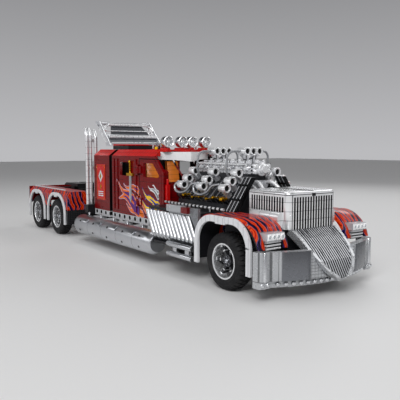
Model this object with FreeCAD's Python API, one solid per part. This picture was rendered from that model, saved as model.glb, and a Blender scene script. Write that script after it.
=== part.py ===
import FreeCAD, Part
import math
import os

# Brick-built model of a long hot-rod sleeper truck, in millimetres.
# X runs forward from the front axle, Y to the left and Z up from the ground.

V = FreeCAD.Vector
ORIGIN = V(0, 0, 0)
AXES = {"x": V(1, 0, 0), "y": V(0, 1, 0), "z": V(0, 0, 1)}
DIAGONAL_SHARE = math.sqrt(0.5)
CORNER_SHARE = 1 - DIAGONAL_SHARE

# Building grid and clearances
STUD = 8.0
PLATE_H = 3.2
PIN_HOLE_R = 2.4
RUN_CLEAR = 0.05
SEAT_GAP = 0.2
OVERRUN = 2.0

# Wheels and axles
TYRE_D = 62.4
TYRE_W = 20.0
TYRE_FACE_Y = 81.0
TYRE_SHOULDER = 3.2
RIM_R = 19.6
RIM_WALL = 2.0
RIM_FACE_SET = 1.0
RIM_LIP_W = 0.4
DISH_DEPTH = 8.0
SPOKE_W = 3.2
SPOKE_COUNT = 6
HUB_R = 6.5
HUB_CAP_H = 2.6
FRONT_AXLE_X = 0.0
REAR_AXLE_1_X = -483.5
REAR_AXLE_2_X = -582.2
KINGPIN_Y = 50.0
KINGPIN_R = 2.4
STUB_R = 2.4
KNUCKLE_COLLAR_R = 4.0
KNUCKLE_HALF = 6.0
KNUCKLE_H = 12.4
FORK_PLATE = 4.2
FORK_WEB_SET = 2.4
FORK_REACH = 6.0
AXLE_BOX_HALF = 8.0
AXLE_TUBE_R = 4.2

# Chassis
RAIL_Y = 18.0
RAIL_W = 8.0
RAIL_H = 8.0
RAIL_TOP_Z = 46.0
RAIL_REAR_X = -626.0
RAIL_FRONT_X = 46.0
CROSS_W = 8.0
BUMPER_ARM_Y = 40.0
BUMPER_ARM_W = 8.0
NOSE_BLOCK_HALF_W = 30.0
NOSE_BLOCK_REAR_X = -4.0
BEAM_W = 8.0
BEAM_BOTTOM_Z = 44.4
BEAM_HOLE_Z = 50.2
BEAM_REAR_X = -378.0
BEAM_FRONT_X = -202.0
BEAM_HOLE_1_X = -369.9
BEAM_HOLE_COUNT = 11

# Cab and sleeper
CAB_FRONT_X = -162.5
CAB_REAR_X = -379.0
CAB_HALF_W = 54.0
CAB_BOTTOM_Z = 54.2
EAVE_Z = 141.0
ROOF_Z = 150.6
ROOF_INSET = 12.0
CAB_WALL = 4.0
GAP_FRONT_X = -313.6
GAP_REAR_X = -323.0
DOOR_REAR_X = -228.0
DOOR_FRONT_X = -168.4
DOOR_BOTTOM_Z = 60.0
DOOR_TOP_Z = 137.0
DOOR_SEAM = 0.8
HINGE_PIN_R = 1.2
HINGE_BARREL_R = 2.2
HINGE_BARREL_H = 10.0
COWL_TOP_Z = 106.5
PILLAR_RAKE = 24.0
PILLAR_FOOT_Z = 120.0
SCREEN_POST_R = 1.3
SCREEN_POST_Y = 17.0
SLEEPER_WINDOW_REAR_X = -287.0
SLEEPER_WINDOW_FRONT_X = -252.0
SLEEPER_WINDOW_LOW_Z = 112.0
SLEEPER_WINDOW_TOP_Z = 132.0
SIDE_RIB_W = 6.0
SIDE_RIB_D = 1.4
VISOR_TIP_X = -176.0
VISOR_SWEEP = 20.0
VISOR_HALF_W = 43.5
VISOR_T = 2.6
VISOR_LOW_Z = 133.6
VISOR_RISE = 3.0
ROOF_PEAK_SET = 1.6

# Inside the cab
SEAT_X = -250.0
SEAT_IN_Y = 8.0
SEAT_OUT_Y = 28.0
SEAT_Z = 80.0
SEAT_TOP_Z = 130.0
SEAT_BACK_T = 6.0
SEAT_LEAN = 9.0
SEAT_CUSHION_L = 26.0
SEAT_CUSHION_T = 8.0
DASH_DEPTH = 10.0
DASH_H = 12.0
DASH_SIDE_GAP = 6.0
STEERING_RING_R = 10.0
STEERING_GRIP_R = 1.3
STEERING_SPOKES = 3

# Engine bay
ENGINE_REAR_X = -152.0
ENGINE_FRONT_X = -38.0
CRANKCASE_HALF_W = 20.0
HEAD_IN_Y = 20.0
HEAD_IN_Z = 114.0
HEAD_OUT_Y = 43.0
HEAD_OUT_Z = 92.0
HEAD_T = 8.0
HEAD_GROOVE = 1.6
HORN_R = 4.9
HORN_BORE_R = 3.8
HORN_LEN = 11.0
HORN_DEPTH = 9.0
HORN_STAND = 13.8
HORN_STUB_R = 4.1
HORN_COLUMNS_X = (-34.0, -79.0, -121.0)
HORN_ROW_SHARES = (0.03, 0.45, 0.81)
BLOWER_HALF_W = 15.0
BLOWER_LOW_Z = 122.0
BLOWER_TOP_Z = 134.5
BLOWER_REAR_X = -138.0
BLOWER_FRONT_X = -30.0
BLOWER_RIB = 2.0
BLOWER_RIB_COUNT = 3
TOP_BAR_R = 1.8
TOP_BAR_Y = 10.0
TOP_TUBE_R = 4.7
TOP_TUBE_BORE_R = 3.5
TOP_TUBE_PITCH = 9.5
TOP_TUBE_LEN = 16.0
TOP_TUBE_DEPTH = 11.0
TOP_TUBE_Z = 148.5
TOP_TUBE_OPEN_X = (-43.5, -103.0)
STAND_T = 3.0
BELT_CASE_T = 5.0
BELT_CASE_HALF_W = 11.5
PULLEY_R = 4.4
PULLEY_T = 3.0
CRANK_PULLEY_R = 8.8
CRANK_PULLEY_T = 6.0
COOLER_FRONT_X = -15.0
COOLER_L = 15.0
COOLER_T = 7.0
COOLER_TOP_Z = 119.0
COOLER_TOP_Y = 27.3
COOLER_FOOT_Y = 53.2
COOLER_RIB_W = 1.6
COOLER_RIB_PITCH = 3.0
BAY_RAIL_R = 1.7
BAY_RAIL_Y = 56.0
SHELF_Z = 74.4
SHELF_T = 3.6
SHELF_IN_Y = 44.0
SHELF_OUT_Y = 76.8
PANEL_REAR_X = -108.0
PANEL_SPLIT_X = -75.0
PANEL_FRONT_X = -62.0
PANEL_LEDGE_H = 2.4
PANEL_H = 8.0
PANEL_FACE_Y = 84.0
PANEL_T = 7.0
PANEL_BLOCK_D = 1.0
HOSE_R = 1.3
HOSE_LEAN = 4.0
HOSE_RUN = 16.0
HOSE_OUT_Y = 32.0
ARC_SHARE = 0.45

# Nose
SHELL_REAR_X = -8.0
SHELL_FRONT_X = 54.0
SHELL_HALF_W = 37.0
SHELL_BOTTOM_Z = 67.5
SHELL_TOP_Z = 107.0
SHELL_ROUND = 9.0
SHELL_EDGE_R = 3.0
RIB_PITCH = 4.0
RIB_W = 2.2
RIB_D = 1.6
FRONT_GRILLE_TOP_Z = 101.0
SIDE_GRILLE_LOW_Z = 85.5
SIDE_GRILLE_TOP_Z = 101.0
HOOD_BLOCK_T = 6.8
HOOD_BLOCK_ROUND = 5.0
HOOD_BLOCK_LOW_Z = 69.0
PROW_TIP_X = 96.0
PROW_TIP_Z = 21.0
PROW_HALF_W = 30.0
PROW_WALL = 6.0
PROW_RIB_PITCH = 3.2
PROW_RIB_W = 1.8
PROW_RIB_D = 1.4
PROW_TRIM_W = 4.0
PROW_TRIM_D = 2.6
BUMPER_HALF_W = 86.0
BUMPER_BOTTOM_Z = 14.4
BUMPER_TOP_Z = 50.6
BUMPER_SIDE_X = 68.0
BUMPER_TIP_X = 86.0
BUMPER_WALL = 8.0
BUMPER_COLUMN = 13.0
BUMPER_COLUMN_SET = 2.0
BUMPER_COLUMN_ROUND = 5.0
BUMPER_PANEL_IN_Y = 34.0
BUMPER_PANEL_OUT_Y = 64.0
BUMPER_PANEL_T = 1.0
BUMPER_LIP_H = 7.0
BUMPER_LIP_SET = 5.0

# Fenders
ARCH_REAR_X = -46.0
ARCH_FRONT_X = 51.0
ARCH_TOP_Z = 80.5
ARCH_BAND = 7.0
ARCH_T = 3.0
ARCH_FACE_Y = 86.0
ARCH_LEG_Z = 24.0
ARCH_TURN = 31.0
ARCH_PLATE_L = 16.0
ARCH_PLATE_D = 1.2
FENDER_INNER_Y = 44.0
FENDER_TIP_X = 62.0
FENDER_TIP_Z = 52.0
FENDER_WALL = 3.0
FENDER_REAR_TURN = 22.0
FENDER_FRONT_TURN = 42.0
WELL_T = 2.0
WELL_FOOT_Z = 30.0
WELL_INNER_Y = 54.0
LAMP_BOX_FRONT_X = 64.3
LAMP_BOX_DEPTH = 16.0
LAMP_BOX_IN_Y = 52.5
LAMP_BOX_OUT_Y = 75.7
LAMP_BOX_H = 7.8
LAMP_BOX_Z = 60.8
LAMP_NECK_SET = 2.0
LAMP_BAR_R = 1.3
LAMP_BAR_SET = 4.0
LAMP_BAR_COUNT = 3

# Rear deck
DECK_REAR_X = -630.0
DECK_FRONT_X = -434.0
DECK_HALF_W = 79.0
DECK_TOP_Z = 78.0
DECK_EDGE_Z = 47.0
DECK_INNER_Y = 42.0
DECK_WALL = 3.2
DECK_CHAMFER = 7.0
REAR_ARCH_HALF = 43.0
REAR_ARCH_TOP_Z = 74.5
REAR_ARCH_BAND = 5.0
REAR_ARCH_LEG_Z = 21.0
REAR_ARCH_TURN = 36.0
REAR_ARCH_NOTCH = 5.0
REAR_ARCH_NOTCH_H = 3.0
SKIRT_BOTTOM_Z = 22.0
DECK_BEAM_W = 8.0
DECK_BEAM_H = 8.0
TAIL_T = 1.8
TAIL_LAMP_R = 3.6
TAIL_LAMP_T = 2.4
FIFTH_X = -548.0
FIFTH_Z = 86.0
FIFTH_PLATE_T = 5.0
FIFTH_HALF_L = 28.0
FIFTH_HALF_W = 24.0
FIFTH_THROAT = 5.0
FIFTH_RAMP_L = 10.0
FIFTH_LEG = 8.0
KINGPIN_BORE_R = 4.1

# Side gear
TANK_R = 15.5
TANK_Y = 72.0
TANK_Z = 28.8
TANK_REAR_X = -395.0
TANK_FRONT_X = -148.0
TANK_CAP_L = 9.0
TANK_CAP_R = 11.5
TANK_SLOT_L = 6.0
TANK_SLOT_D = 1.4
TANK_SLOT_DEGREES = 40.0
SADDLE_W = 5.0
SADDLE_H = 6.0
SADDLE_REACH = 4.6
SADDLE_COUNT = 4
PIPE_R = 3.0
PIPE_Y = 80.0
PIPE_TOP_Z = 74.0
PIPE_LOW_Z = 45.0
PIPE_FOOT_Z = 36.0
PIPE_RAKE = 16.0
PIPE_PITCH = 8.6
PIPE_GROUP_X = (-160.0, -109.5)
PIPE_COUNT = 6
PIPE_TUCK = 8.0
STEP_R = 3.4
STEP_Y = 84.0
STEP_REAR_X = -104.0
STEP_FRONT_X = -52.0
STEP_HIGH_Z = 37.0
STEP_LOW_Z = 25.6
STEP_ARM_W = 8.0
STACK_X = -387.0
STACK_TOP_Z = 188.0
STACK_R = 2.8
STACK_INNER_R = 3.4
STACK_INNER_Y = 47.0
STACK_OUTER_Y = 56.2
STACK_PITCH = 6.0
STACK_BEND = 15.0
STACK_SWEEP = 8.0
STACK_FOOT_Z = 60.0
STACK_STAND_L = 12.0
STACK_CLIP_H = 5.0

# Roof gear
LAMP_X = -184.0
LAMP_R = 7.7
LAMP_BOWL_R = 6.4
LAMP_BOWL_D = 1.4
LAMP_Z = 161.0
LAMP_LEN = 9.0
LAMP_Y = (8.4, 32.0)
LAMP_STAND_L = 18.0
LAMP_STAND_FOOT_W = 10.0
LAMP_STAND_TOP_W = 4.0
MARKER_R = 2.2
MARKER_H = 3.6
MARKER_X = -204.0
AIR_HORN_R = 2.6
AIR_HORN_NECK_R = 1.3
AIR_HORN_LEN = 22.0
AIR_HORN_FLARE = 7.0
AIR_HORN_PITCH = 6.4
AIR_HORN_COUNT = 3
AIR_HORN_FRONT_X = -206.0
AIR_HORN_Y = 24.0
AIR_HORN_Z = 157.6
WING_X = -330.0
WING_REAR_RUN = 41.0
WING_HALF_W = 48.0
WING_LOW_Z = 156.4
WING_TOP_Z = 196.6
WING_PLATE_T = 2.4
WING_SIDE_DEPTH = 15.0
WING_SIDE_T = 3.0
WING_BAR_R = 2.6
WING_TOP_BAR_R = 2.2
WING_PANEL_SET = 3.0
WING_PANEL_LOW_W = 36.5
WING_PANEL_TOP_W = 26.5
WING_BASE_HALF_W = 36.0
WING_BASE_FRONT_L = 21.0
WING_BASE_REAR_L = 22.0

# Sword ornaments on the sleeper sides
SWORD_X = -252.0
BLADE_W = 6.0
BLADE_T = 1.6
BLADE_LOW_Z = 73.0
GUARD_Z = 112.5
GUARD_W = 18.0
GUARD_H = 4.0
GUARD_T = 3.0
HILT_R = 1.5
HILT_TOP_Z = 133.0
POMMEL_R = 2.1


def box(x0, x1, y0, y1, z0, z1):
    """Box between two corners."""
    return Part.makeBox(x1 - x0, y1 - y0, z1 - z0, V(x0, y0, z0))


def rod(p, q, r):
    """Round bar from p to q."""
    way = q.sub(p)
    return Part.makeCylinder(r, way.Length, p, way)


def cup(p, q, r, bore, depth):
    """Round bar from p to q with a blind bore at q."""
    way = q.sub(p)
    way.normalize()
    return rod(p, q, r).cut(rod(q - way * depth, q + way * bore, bore))


def plane_points(points, axis, at):
    """Points of an outline on the plane that crosses one axis."""
    if axis == "y":
        return [V(a, at, b) for a, b in points]
    if axis == "x":
        return [V(at, a, b) for a, b in points]
    return [V(a, b, at) for a, b in points]


def prism(points, axis, start, end):
    """Straight-sided outline pushed along an axis from start to end."""
    loop = plane_points(points, axis, start)
    face = Part.Face(Part.makePolygon(loop + loop[:1]))
    return face.extrude(AXES[axis] * (end - start))


def turned_solid(points):
    """Solid of revolution about the Y axis from (radius, y) points."""
    loop = plane_points(points, "z", 0)
    return Part.Face(Part.makePolygon(loop + loop[:1])).revolve(ORIGIN, AXES["y"], 360)


def face_from(edges):
    """Flat face inside a closed run of edges."""
    return Part.Face(Part.Wire(Part.__sortEdges__(edges)))


def line(p, q):
    return Part.LineSegment(p, q).toShape()


def arc(p, middle, q):
    return Part.Arc(p, middle, q).toShape()


def join(shapes):
    """One solid from pieces that overlap or share a face."""
    first = shapes[0]
    if len(shapes) == 1:
        return first
    return first.fuse(shapes[1:]).removeSplitter()


def mirror(shape):
    return shape.mirror(ORIGIN, AXES["y"])


def both_sides(pieces):
    """The pieces and their mirror images across the middle plane."""
    return [copy for piece in pieces for copy in (piece, mirror(piece))]


def turned(shape, axis, degrees, centre=ORIGIN):
    copy = shape.copy()
    copy.rotate(centre, AXES[axis], degrees)
    return copy


def moved(shape, x=0, y=0, z=0):
    copy = shape.copy()
    copy.translate(V(x, y, z))
    return copy


def between(a, b, share):
    return a + (b - a) * share


# Wheels and axles

def tyre():
    """Tyre about the Y axis, its outer face on the -Y side."""
    r, s, w = TYRE_D / 2, TYRE_SHOULDER, TYRE_W
    bore = RIM_R + SEAT_GAP
    return turned_solid([(bore, 0), (r - s, 0), (r, s), (r, w - s), (r - s, w), (bore, w)])


def rim():
    """Deep-dish rim about the Y axis with raked spokes and a bored hub."""
    front, back = RIM_FACE_SET, TYRE_W - RIM_FACE_SET
    inner = RIM_R - RIM_WALL
    ring = turned_solid([(RIM_R, front), (RIM_R, back), (inner, back), (inner, front + RIM_WALL),
                         (inner + RIM_LIP_W, front)])
    dish = front + DISH_DEPTH
    hub = Part.makeCylinder(HUB_R, back - dish + HUB_CAP_H, V(0, dish - HUB_CAP_H, 0), AXES["y"])
    root = inner + RIM_WALL / 2
    outline = [(0, dish), (root, dish - DISH_DEPTH / 2), (root, dish + SPOKE_W), (0, dish + SPOKE_W * 2)]
    spoke = prism(outline, "z", -SPOKE_W / 2, SPOKE_W / 2)
    spokes = [turned(spoke, "y", 360 * k / SPOKE_COUNT) for k in range(SPOKE_COUNT)]
    wheel = join([ring, hub] + spokes)
    return wheel.cut(Part.makeCylinder(STUB_R + RUN_CLEAR, TYRE_W, V(0, dish, 0), AXES["y"]))


def placed_wheel(shape, x, side):
    """Wheel piece at an axle; side is -1 on the right and 1 on the left."""
    right = moved(shape, x, -TYRE_FACE_Y, TYRE_D / 2)
    return right if side < 0 else mirror(right)


def hub_back_y():
    """Distance of the hub's inner end from the middle plane."""
    return TYRE_FACE_Y - TYRE_W + RIM_FACE_SET


def stub_end_y():
    """Distance of a stub shaft's tip from the middle plane."""
    return TYRE_FACE_Y - RIM_FACE_SET - DISH_DEPTH - SEAT_GAP


def knuckle():
    """Right steering knuckle: bored block with the wheel's stub shaft."""
    z, y, half = TYRE_D / 2, -KINGPIN_Y, KNUCKLE_HALF
    low, high = z - KNUCKLE_H / 2, z + KNUCKLE_H / 2
    block = box(-half, half, y - half, y + half, low, high)
    collar = rod(V(0, y, z), V(0, -hub_back_y() + SEAT_GAP, z), KNUCKLE_COLLAR_R)
    stub = rod(V(0, y, z), V(0, -stub_end_y(), z), STUB_R)
    bore = rod(V(0, y, low - OVERRUN), V(0, y, high + OVERRUN), KINGPIN_R + RUN_CLEAR)
    return join([block, collar, stub]).cut(bore)


def front_axle():
    """Beam axle with a fork and a kingpin at each end."""
    z, half = TYRE_D / 2, KNUCKLE_HALF
    block_half = KNUCKLE_H / 2 + SEAT_GAP
    web_out = KINGPIN_Y - half - FORK_WEB_SET
    web_in = web_out - FORK_PLATE
    low, high = z - block_half - FORK_PLATE, z + block_half
    beam = box(-half, half, -web_out, web_out, z - block_half, rail_low() - SEAT_GAP)
    fork = [box(-half, half, web_in, KINGPIN_Y + FORK_REACH, h, h + FORK_PLATE) for h in (low, high)]
    web = box(-half, half, web_in, web_out, low, high + FORK_PLATE)
    pin = rod(V(0, KINGPIN_Y, low), V(0, KINGPIN_Y, high + FORK_PLATE), KINGPIN_R)
    return join([beam] + both_sides(fork + [web, pin]))


def rear_axle(x):
    """Rear axle: box under the rails, tubes and the wheels' stub shafts."""
    z = TYRE_D / 2
    side = RAIL_Y + RAIL_W
    sleeve_end = hub_back_y() - SEAT_GAP
    middle = box(x - AXLE_BOX_HALF, x + AXLE_BOX_HALF, -side, side, z - AXLE_BOX_HALF, rail_low() - SEAT_GAP)
    sleeve = rod(V(x, -sleeve_end, z), V(x, sleeve_end, z), AXLE_TUBE_R)
    shaft = rod(V(x, -stub_end_y(), z), V(x, stub_end_y(), z), STUB_R)
    return join([middle, sleeve, shaft])


# Chassis

def rail_low():
    return RAIL_TOP_Z - RAIL_H


def frame_rails():
    """Rails, cross beams, cab outriggers, nose block and bumper arms, each a beam of its own."""
    low, top = rail_low(), RAIL_TOP_Z
    inner, outer = RAIL_Y - RAIL_W / 2, RAIL_Y + RAIL_W / 2
    front_beam_x = RAIL_FRONT_X - CROSS_W
    rail = box(RAIL_REAR_X, front_beam_x - SEAT_GAP, inner, outer, low, top)
    half = inner - SEAT_GAP
    z = low + RAIL_H / 2
    hole = rod(V(RAIL_REAR_X - OVERRUN, 0, z), V(RAIL_REAR_X + CROSS_W + OVERRUN, 0, z), PIN_HOLE_R)
    beams = [box(RAIL_REAR_X, RAIL_REAR_X + CROSS_W, -half, half, low, top).cut(hole)]
    for x in (deck_middle_x() - CROSS_W / 2, DECK_FRONT_X, CAB_FRONT_X):
        beams.append(box(x, x + CROSS_W, -half, half, low, top))
    reach = CAB_HALF_W - BEAM_W - SEAT_GAP
    seat = top + SEAT_GAP
    for x in (CAB_REAR_X + CROSS_W, GAP_FRONT_X, DOOR_REAR_X):
        beams.append(box(x, x + CROSS_W, -reach, reach, seat, CAB_BOTTOM_Z - SEAT_GAP))
    arm_out = BUMPER_ARM_Y + BUMPER_ARM_W / 2
    beams.append(box(front_beam_x, RAIL_FRONT_X, -arm_out, arm_out, low, top))
    beams.append(box(NOSE_BLOCK_REAR_X, RAIL_FRONT_X, -NOSE_BLOCK_HALF_W, NOSE_BLOCK_HALF_W, seat,
                     SHELL_BOTTOM_Z - SEAT_GAP))
    arm = box(RAIL_FRONT_X + SEAT_GAP, bumper_front_x(arm_out) - BUMPER_WALL - SEAT_GAP,
              BUMPER_ARM_Y - BUMPER_ARM_W / 2, arm_out, low, top)
    return both_sides([rail, arm]) + beams


def side_beam():
    """Right silver beam of one-hole bricks, with saddles for the tank."""
    top = CAB_BOTTOM_Z - SEAT_GAP
    outer, inner = -CAB_HALF_W, -CAB_HALF_W + BEAM_W
    beam = box(BEAM_REAR_X, BEAM_FRONT_X, outer, inner, BEAM_BOTTOM_Z, top)
    cuts = [box(GAP_REAR_X, GAP_FRONT_X, outer - OVERRUN, outer + BEAM_W / 2, BEAM_BOTTOM_Z - OVERRUN,
                top + OVERRUN)]
    for k in range(BEAM_HOLE_COUNT):
        x = BEAM_HOLE_1_X + 2 * STUD * k
        if x < GAP_REAR_X - PIN_HOLE_R or x > GAP_FRONT_X + PIN_HOLE_R:
            cuts.append(rod(V(x, outer - OVERRUN, BEAM_HOLE_Z), V(x, inner + OVERRUN, BEAM_HOLE_Z), PIN_HOLE_R))
    saddles = []
    step = (BEAM_FRONT_X - BEAM_REAR_X) / SADDLE_COUNT
    for k in range(SADDLE_COUNT):
        x = BEAM_REAR_X + step * k + step / 2
        saddles.append(box(x, x + SADDLE_W, -TANK_Y + SADDLE_REACH, inner, BEAM_BOTTOM_Z - SADDLE_H, BEAM_BOTTOM_Z))
    cuts.append(rod(V(TANK_REAR_X, -TANK_Y, TANK_Z), V(TANK_FRONT_X, -TANK_Y, TANK_Z), TANK_R + SEAT_GAP))
    return join([beam] + saddles).cut(cuts)


# Cab

def door_outline(gap=0.0):
    """Side outline of the door, rear edge first."""
    slope_share, fall_share = 0.30, 0.24
    width, height = DOOR_FRONT_X - DOOR_REAR_X, DOOR_TOP_Z - DOOR_BOTTOM_Z
    rear, front = DOOR_REAR_X - gap, DOOR_FRONT_X + gap
    return [(rear, DOOR_BOTTOM_Z - gap), (front, DOOR_BOTTOM_Z - gap), (front, DOOR_TOP_Z - height * fall_share),
            (front - width * slope_share, DOOR_TOP_Z + gap), (rear, DOOR_TOP_Z + gap)]


def window_outline():
    """Opening of the door's window, set in from the door's edges."""
    rear_share, front_share, low_share, top_share = 0.20, 0.11, 0.68, 0.07
    slope_share, fall_share = 0.26, 0.20
    width, height = DOOR_FRONT_X - DOOR_REAR_X, DOOR_TOP_Z - DOOR_BOTTOM_Z
    rear = DOOR_REAR_X + width * rear_share
    front = DOOR_FRONT_X - width * front_share
    low = DOOR_BOTTOM_Z + height * low_share
    top = DOOR_TOP_Z - height * top_share
    return [(rear, low), (front, low), (front, top - height * fall_share), (front - width * slope_share, top),
            (rear, top)]


def side_ribs():
    """Raised uprights on the right cab side."""
    y = -CAB_HALF_W
    first = GAP_FRONT_X + SIDE_RIB_W / 2
    last = DOOR_REAR_X - DOOR_SEAM * 2 - SIDE_RIB_W * 2
    second_share = 0.16
    return [box(x, x + SIDE_RIB_W, y - SIDE_RIB_D, y, DOOR_BOTTOM_Z, DOOR_TOP_Z)
            for x in (first, between(first, last, second_share), last)]


def hinge_axis():
    """Hinge line just outside the rear edge of the right door."""
    return (DOOR_REAR_X - DOOR_SEAM, -CAB_HALF_W - HINGE_BARREL_R - SEAT_GAP)


def hinge_heights():
    low_share, high_share = 0.16, 0.74
    height = DOOR_TOP_Z - DOOR_BOTTOM_Z
    return (DOOR_BOTTOM_Z + height * low_share, DOOR_BOTTOM_Z + height * high_share)


def hinge_lugs():
    """Pins between pairs of lugs on the cab side that carry the right door."""
    axis_x, axis_y = hinge_axis()
    r = HINGE_BARREL_R
    pieces = []
    for z in hinge_heights():
        top = z + HINGE_BARREL_H
        pin = rod(V(axis_x, axis_y, z - r), V(axis_x, axis_y, top + r), HINGE_PIN_R)
        lugs = [box(axis_x - r * 3, axis_x, axis_y - r / 2, -CAB_HALF_W, low, low + r)
                for low in (z - r - SEAT_GAP, top + SEAT_GAP)]
        pieces.append(join([pin] + lugs))
    return pieces


def header_x():
    """Front face of the beam over the windscreen, behind the visor."""
    return VISOR_TIP_X - VISOR_SWEEP - VISOR_T - SEAT_GAP


def pillar_wedge():
    """Space in front of the raked windscreen pillars."""
    reach = CAB_HALF_W + OVERRUN
    front, top = CAB_FRONT_X + OVERRUN, EAVE_Z + OVERRUN
    return prism([(CAB_FRONT_X, PILLAR_FOOT_Z), (front, PILLAR_FOOT_Z), (front, top),
                  (CAB_FRONT_X - PILLAR_RAKE, top)], "y", -reach, reach)


def cab_side():
    """Right side wall with its doorway, window, ribs and hinge lugs."""
    y0, y1 = -CAB_HALF_W, -CAB_HALF_W + CAB_WALL
    wall = box(GAP_FRONT_X, CAB_FRONT_X, y0, y1, CAB_BOTTOM_Z, EAVE_Z)
    doorway = prism(door_outline(DOOR_SEAM), "y", y0 - OVERRUN, y1 + OVERRUN)
    window = box(SLEEPER_WINDOW_REAR_X, SLEEPER_WINDOW_FRONT_X, y0 - OVERRUN, y1 + OVERRUN, SLEEPER_WINDOW_LOW_Z,
                 SLEEPER_WINDOW_TOP_Z)
    return join([wall.cut([doorway, window, pillar_wedge()])] + side_ribs() + hinge_lugs())


def cab_frame():
    """Floor, rear wall, cowl, windscreen posts and header between the sides."""
    w = CAB_HALF_W - CAB_WALL
    floor = box(GAP_FRONT_X, CAB_FRONT_X, -w, w, CAB_BOTTOM_Z, CAB_BOTTOM_Z + CAB_WALL)
    back = box(GAP_FRONT_X, GAP_FRONT_X + CAB_WALL, -w, w, CAB_BOTTOM_Z, EAVE_Z)
    cowl = box(CAB_FRONT_X - CAB_WALL, CAB_FRONT_X, -w, w, CAB_BOTTOM_Z, EAVE_Z)
    half = w - CAB_WALL
    screen = box(header_x(), CAB_FRONT_X + OVERRUN, -half, half, COWL_TOP_Z, EAVE_Z + OVERRUN)
    rear, front = header_x() - CAB_WALL, header_x()
    header = box(rear, front, -w, w, EAVE_Z - CAB_WALL, EAVE_Z)
    foot, head = CAB_FRONT_X - CAB_WALL / 2, (rear + front) / 2
    posts = [rod(V(foot, y, COWL_TOP_Z), V(head, y, EAVE_Z - CAB_WALL / 2), SCREEN_POST_R)
             for y in (-SCREEN_POST_Y, SCREEN_POST_Y)]
    return join([floor, back, cowl.cut([screen, pillar_wedge()]), header] + posts)


def sleeper_rear():
    """Hollow rear section of the sleeper behind the dark gap."""
    w, t = CAB_HALF_W, CAB_WALL
    outside = box(CAB_REAR_X, GAP_REAR_X, -w, w, CAB_BOTTOM_Z, EAVE_Z)
    return outside.cut(box(CAB_REAR_X + t, GAP_REAR_X - t, -w + t, w - t, CAB_BOTTOM_Z + t, EAVE_Z + OVERRUN))


def gap_frame():
    """Dark filler between the cab sections, with the wing's base on top."""
    w = CAB_HALF_W - CAB_WALL
    x0, x1 = GAP_REAR_X + SEAT_GAP, GAP_FRONT_X - SEAT_GAP
    half = WING_BASE_HALF_W
    filler = box(x0, x1, -w, w, CAB_BOTTOM_Z, EAVE_Z)
    neck = box(x0, x1, -half, half, EAVE_Z, WING_LOW_Z - SEAT_GAP)
    base = box(x0 - WING_BASE_REAR_L, x1 + WING_BASE_FRONT_L, -half, half, ROOF_Z + SEAT_GAP,
               WING_LOW_Z - SEAT_GAP)
    return join([filler, neck, base])


def visor():
    """Pale sun visor, V-shaped in plan and arched along its lower edge."""
    w, low, high = VISOR_HALF_W, VISOR_LOW_Z, ROOF_Z - PLATE_H - SEAT_GAP
    front, t = VISOR_TIP_X, VISOR_T
    rear = front - VISOR_SWEEP
    slab = prism([(front, 0), (rear, w), (rear - t, w), (front - t, 0), (rear - t, -w), (rear, -w)], "z", low, high)
    ends_z = low + VISOR_RISE
    crown_z = ends_z - VISOR_RISE / 4
    edge = [arc(V(0, -w, ends_z), V(0, -w / 2, crown_z), V(0, 0, low)),
            arc(V(0, 0, low), V(0, w / 2, crown_z), V(0, w, ends_z)),
            line(V(0, w, ends_z), V(0, w, high)), line(V(0, w, high), V(0, -w, high)),
            line(V(0, -w, high), V(0, -w, ends_z))]
    face = moved(face_from(edge), x=front - CAB_HALF_W)
    return slab.common(face.extrude(V(CAB_HALF_W * 2, 0, 0)))


def roof_section(low, high, inset=0.0):
    """Cross-section of the roof with sloping tile strips."""
    w = CAB_HALF_W - inset
    flat = w - ROOF_INSET
    return [(-w, low), (w, low), (flat, high), (-flat, high)]


def hollow_roof(x0, x1):
    low = EAVE_Z + SEAT_GAP
    shell = prism(roof_section(low, ROOF_Z), "x", x0, x1)
    core = prism(roof_section(low - OVERRUN, ROOF_Z - PLATE_H, CAB_WALL), "x", x0 + CAB_WALL, x1 - CAB_WALL)
    return shell.cut(core)


def lamp_stands():
    """Three-sided stands on the roof's front edge under the lamps."""
    low, top = ROOF_Z - PLATE_H, LAMP_Z - LAMP_R - SEAT_GAP
    foot, tip = LAMP_STAND_FOOT_W / 2, LAMP_STAND_TOP_W / 2
    x1 = LAMP_X - SEAT_GAP
    return both_sides([prism([(y - foot, low), (y + foot, low), (y + tip, top), (y - tip, top)], "x",
                             x1 - LAMP_STAND_L, x1) for y in LAMP_Y])


def roof():
    """Bright roof in two lengths; the front one ends in a V over the visor."""
    tip = VISOR_TIP_X - ROOF_PEAK_SET
    corner = tip - VISOR_SWEEP
    wall_x = header_x()
    plate_low = ROOF_Z - PLATE_H
    sides = hollow_roof(GAP_FRONT_X, CAB_FRONT_X - PILLAR_RAKE)
    half = VISOR_HALF_W + SEAT_GAP
    pocket = box(wall_x, CAB_FRONT_X, -half, half, EAVE_Z, ROOF_Z + OVERRUN)
    flat = CAB_HALF_W - ROOF_INSET
    bulkhead = box(wall_x - CAB_WALL, wall_x, -flat, flat, EAVE_Z + SEAT_GAP, plate_low)
    peak = prism([(wall_x - CAB_WALL, -flat), (corner, -flat), (tip, 0), (corner, flat), (wall_x - CAB_WALL, flat)],
                 "z", plate_low, ROOF_Z)
    return [hollow_roof(CAB_REAR_X, GAP_REAR_X), join([sides.cut(pocket), bulkhead, peak] + lamp_stands())]


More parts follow.
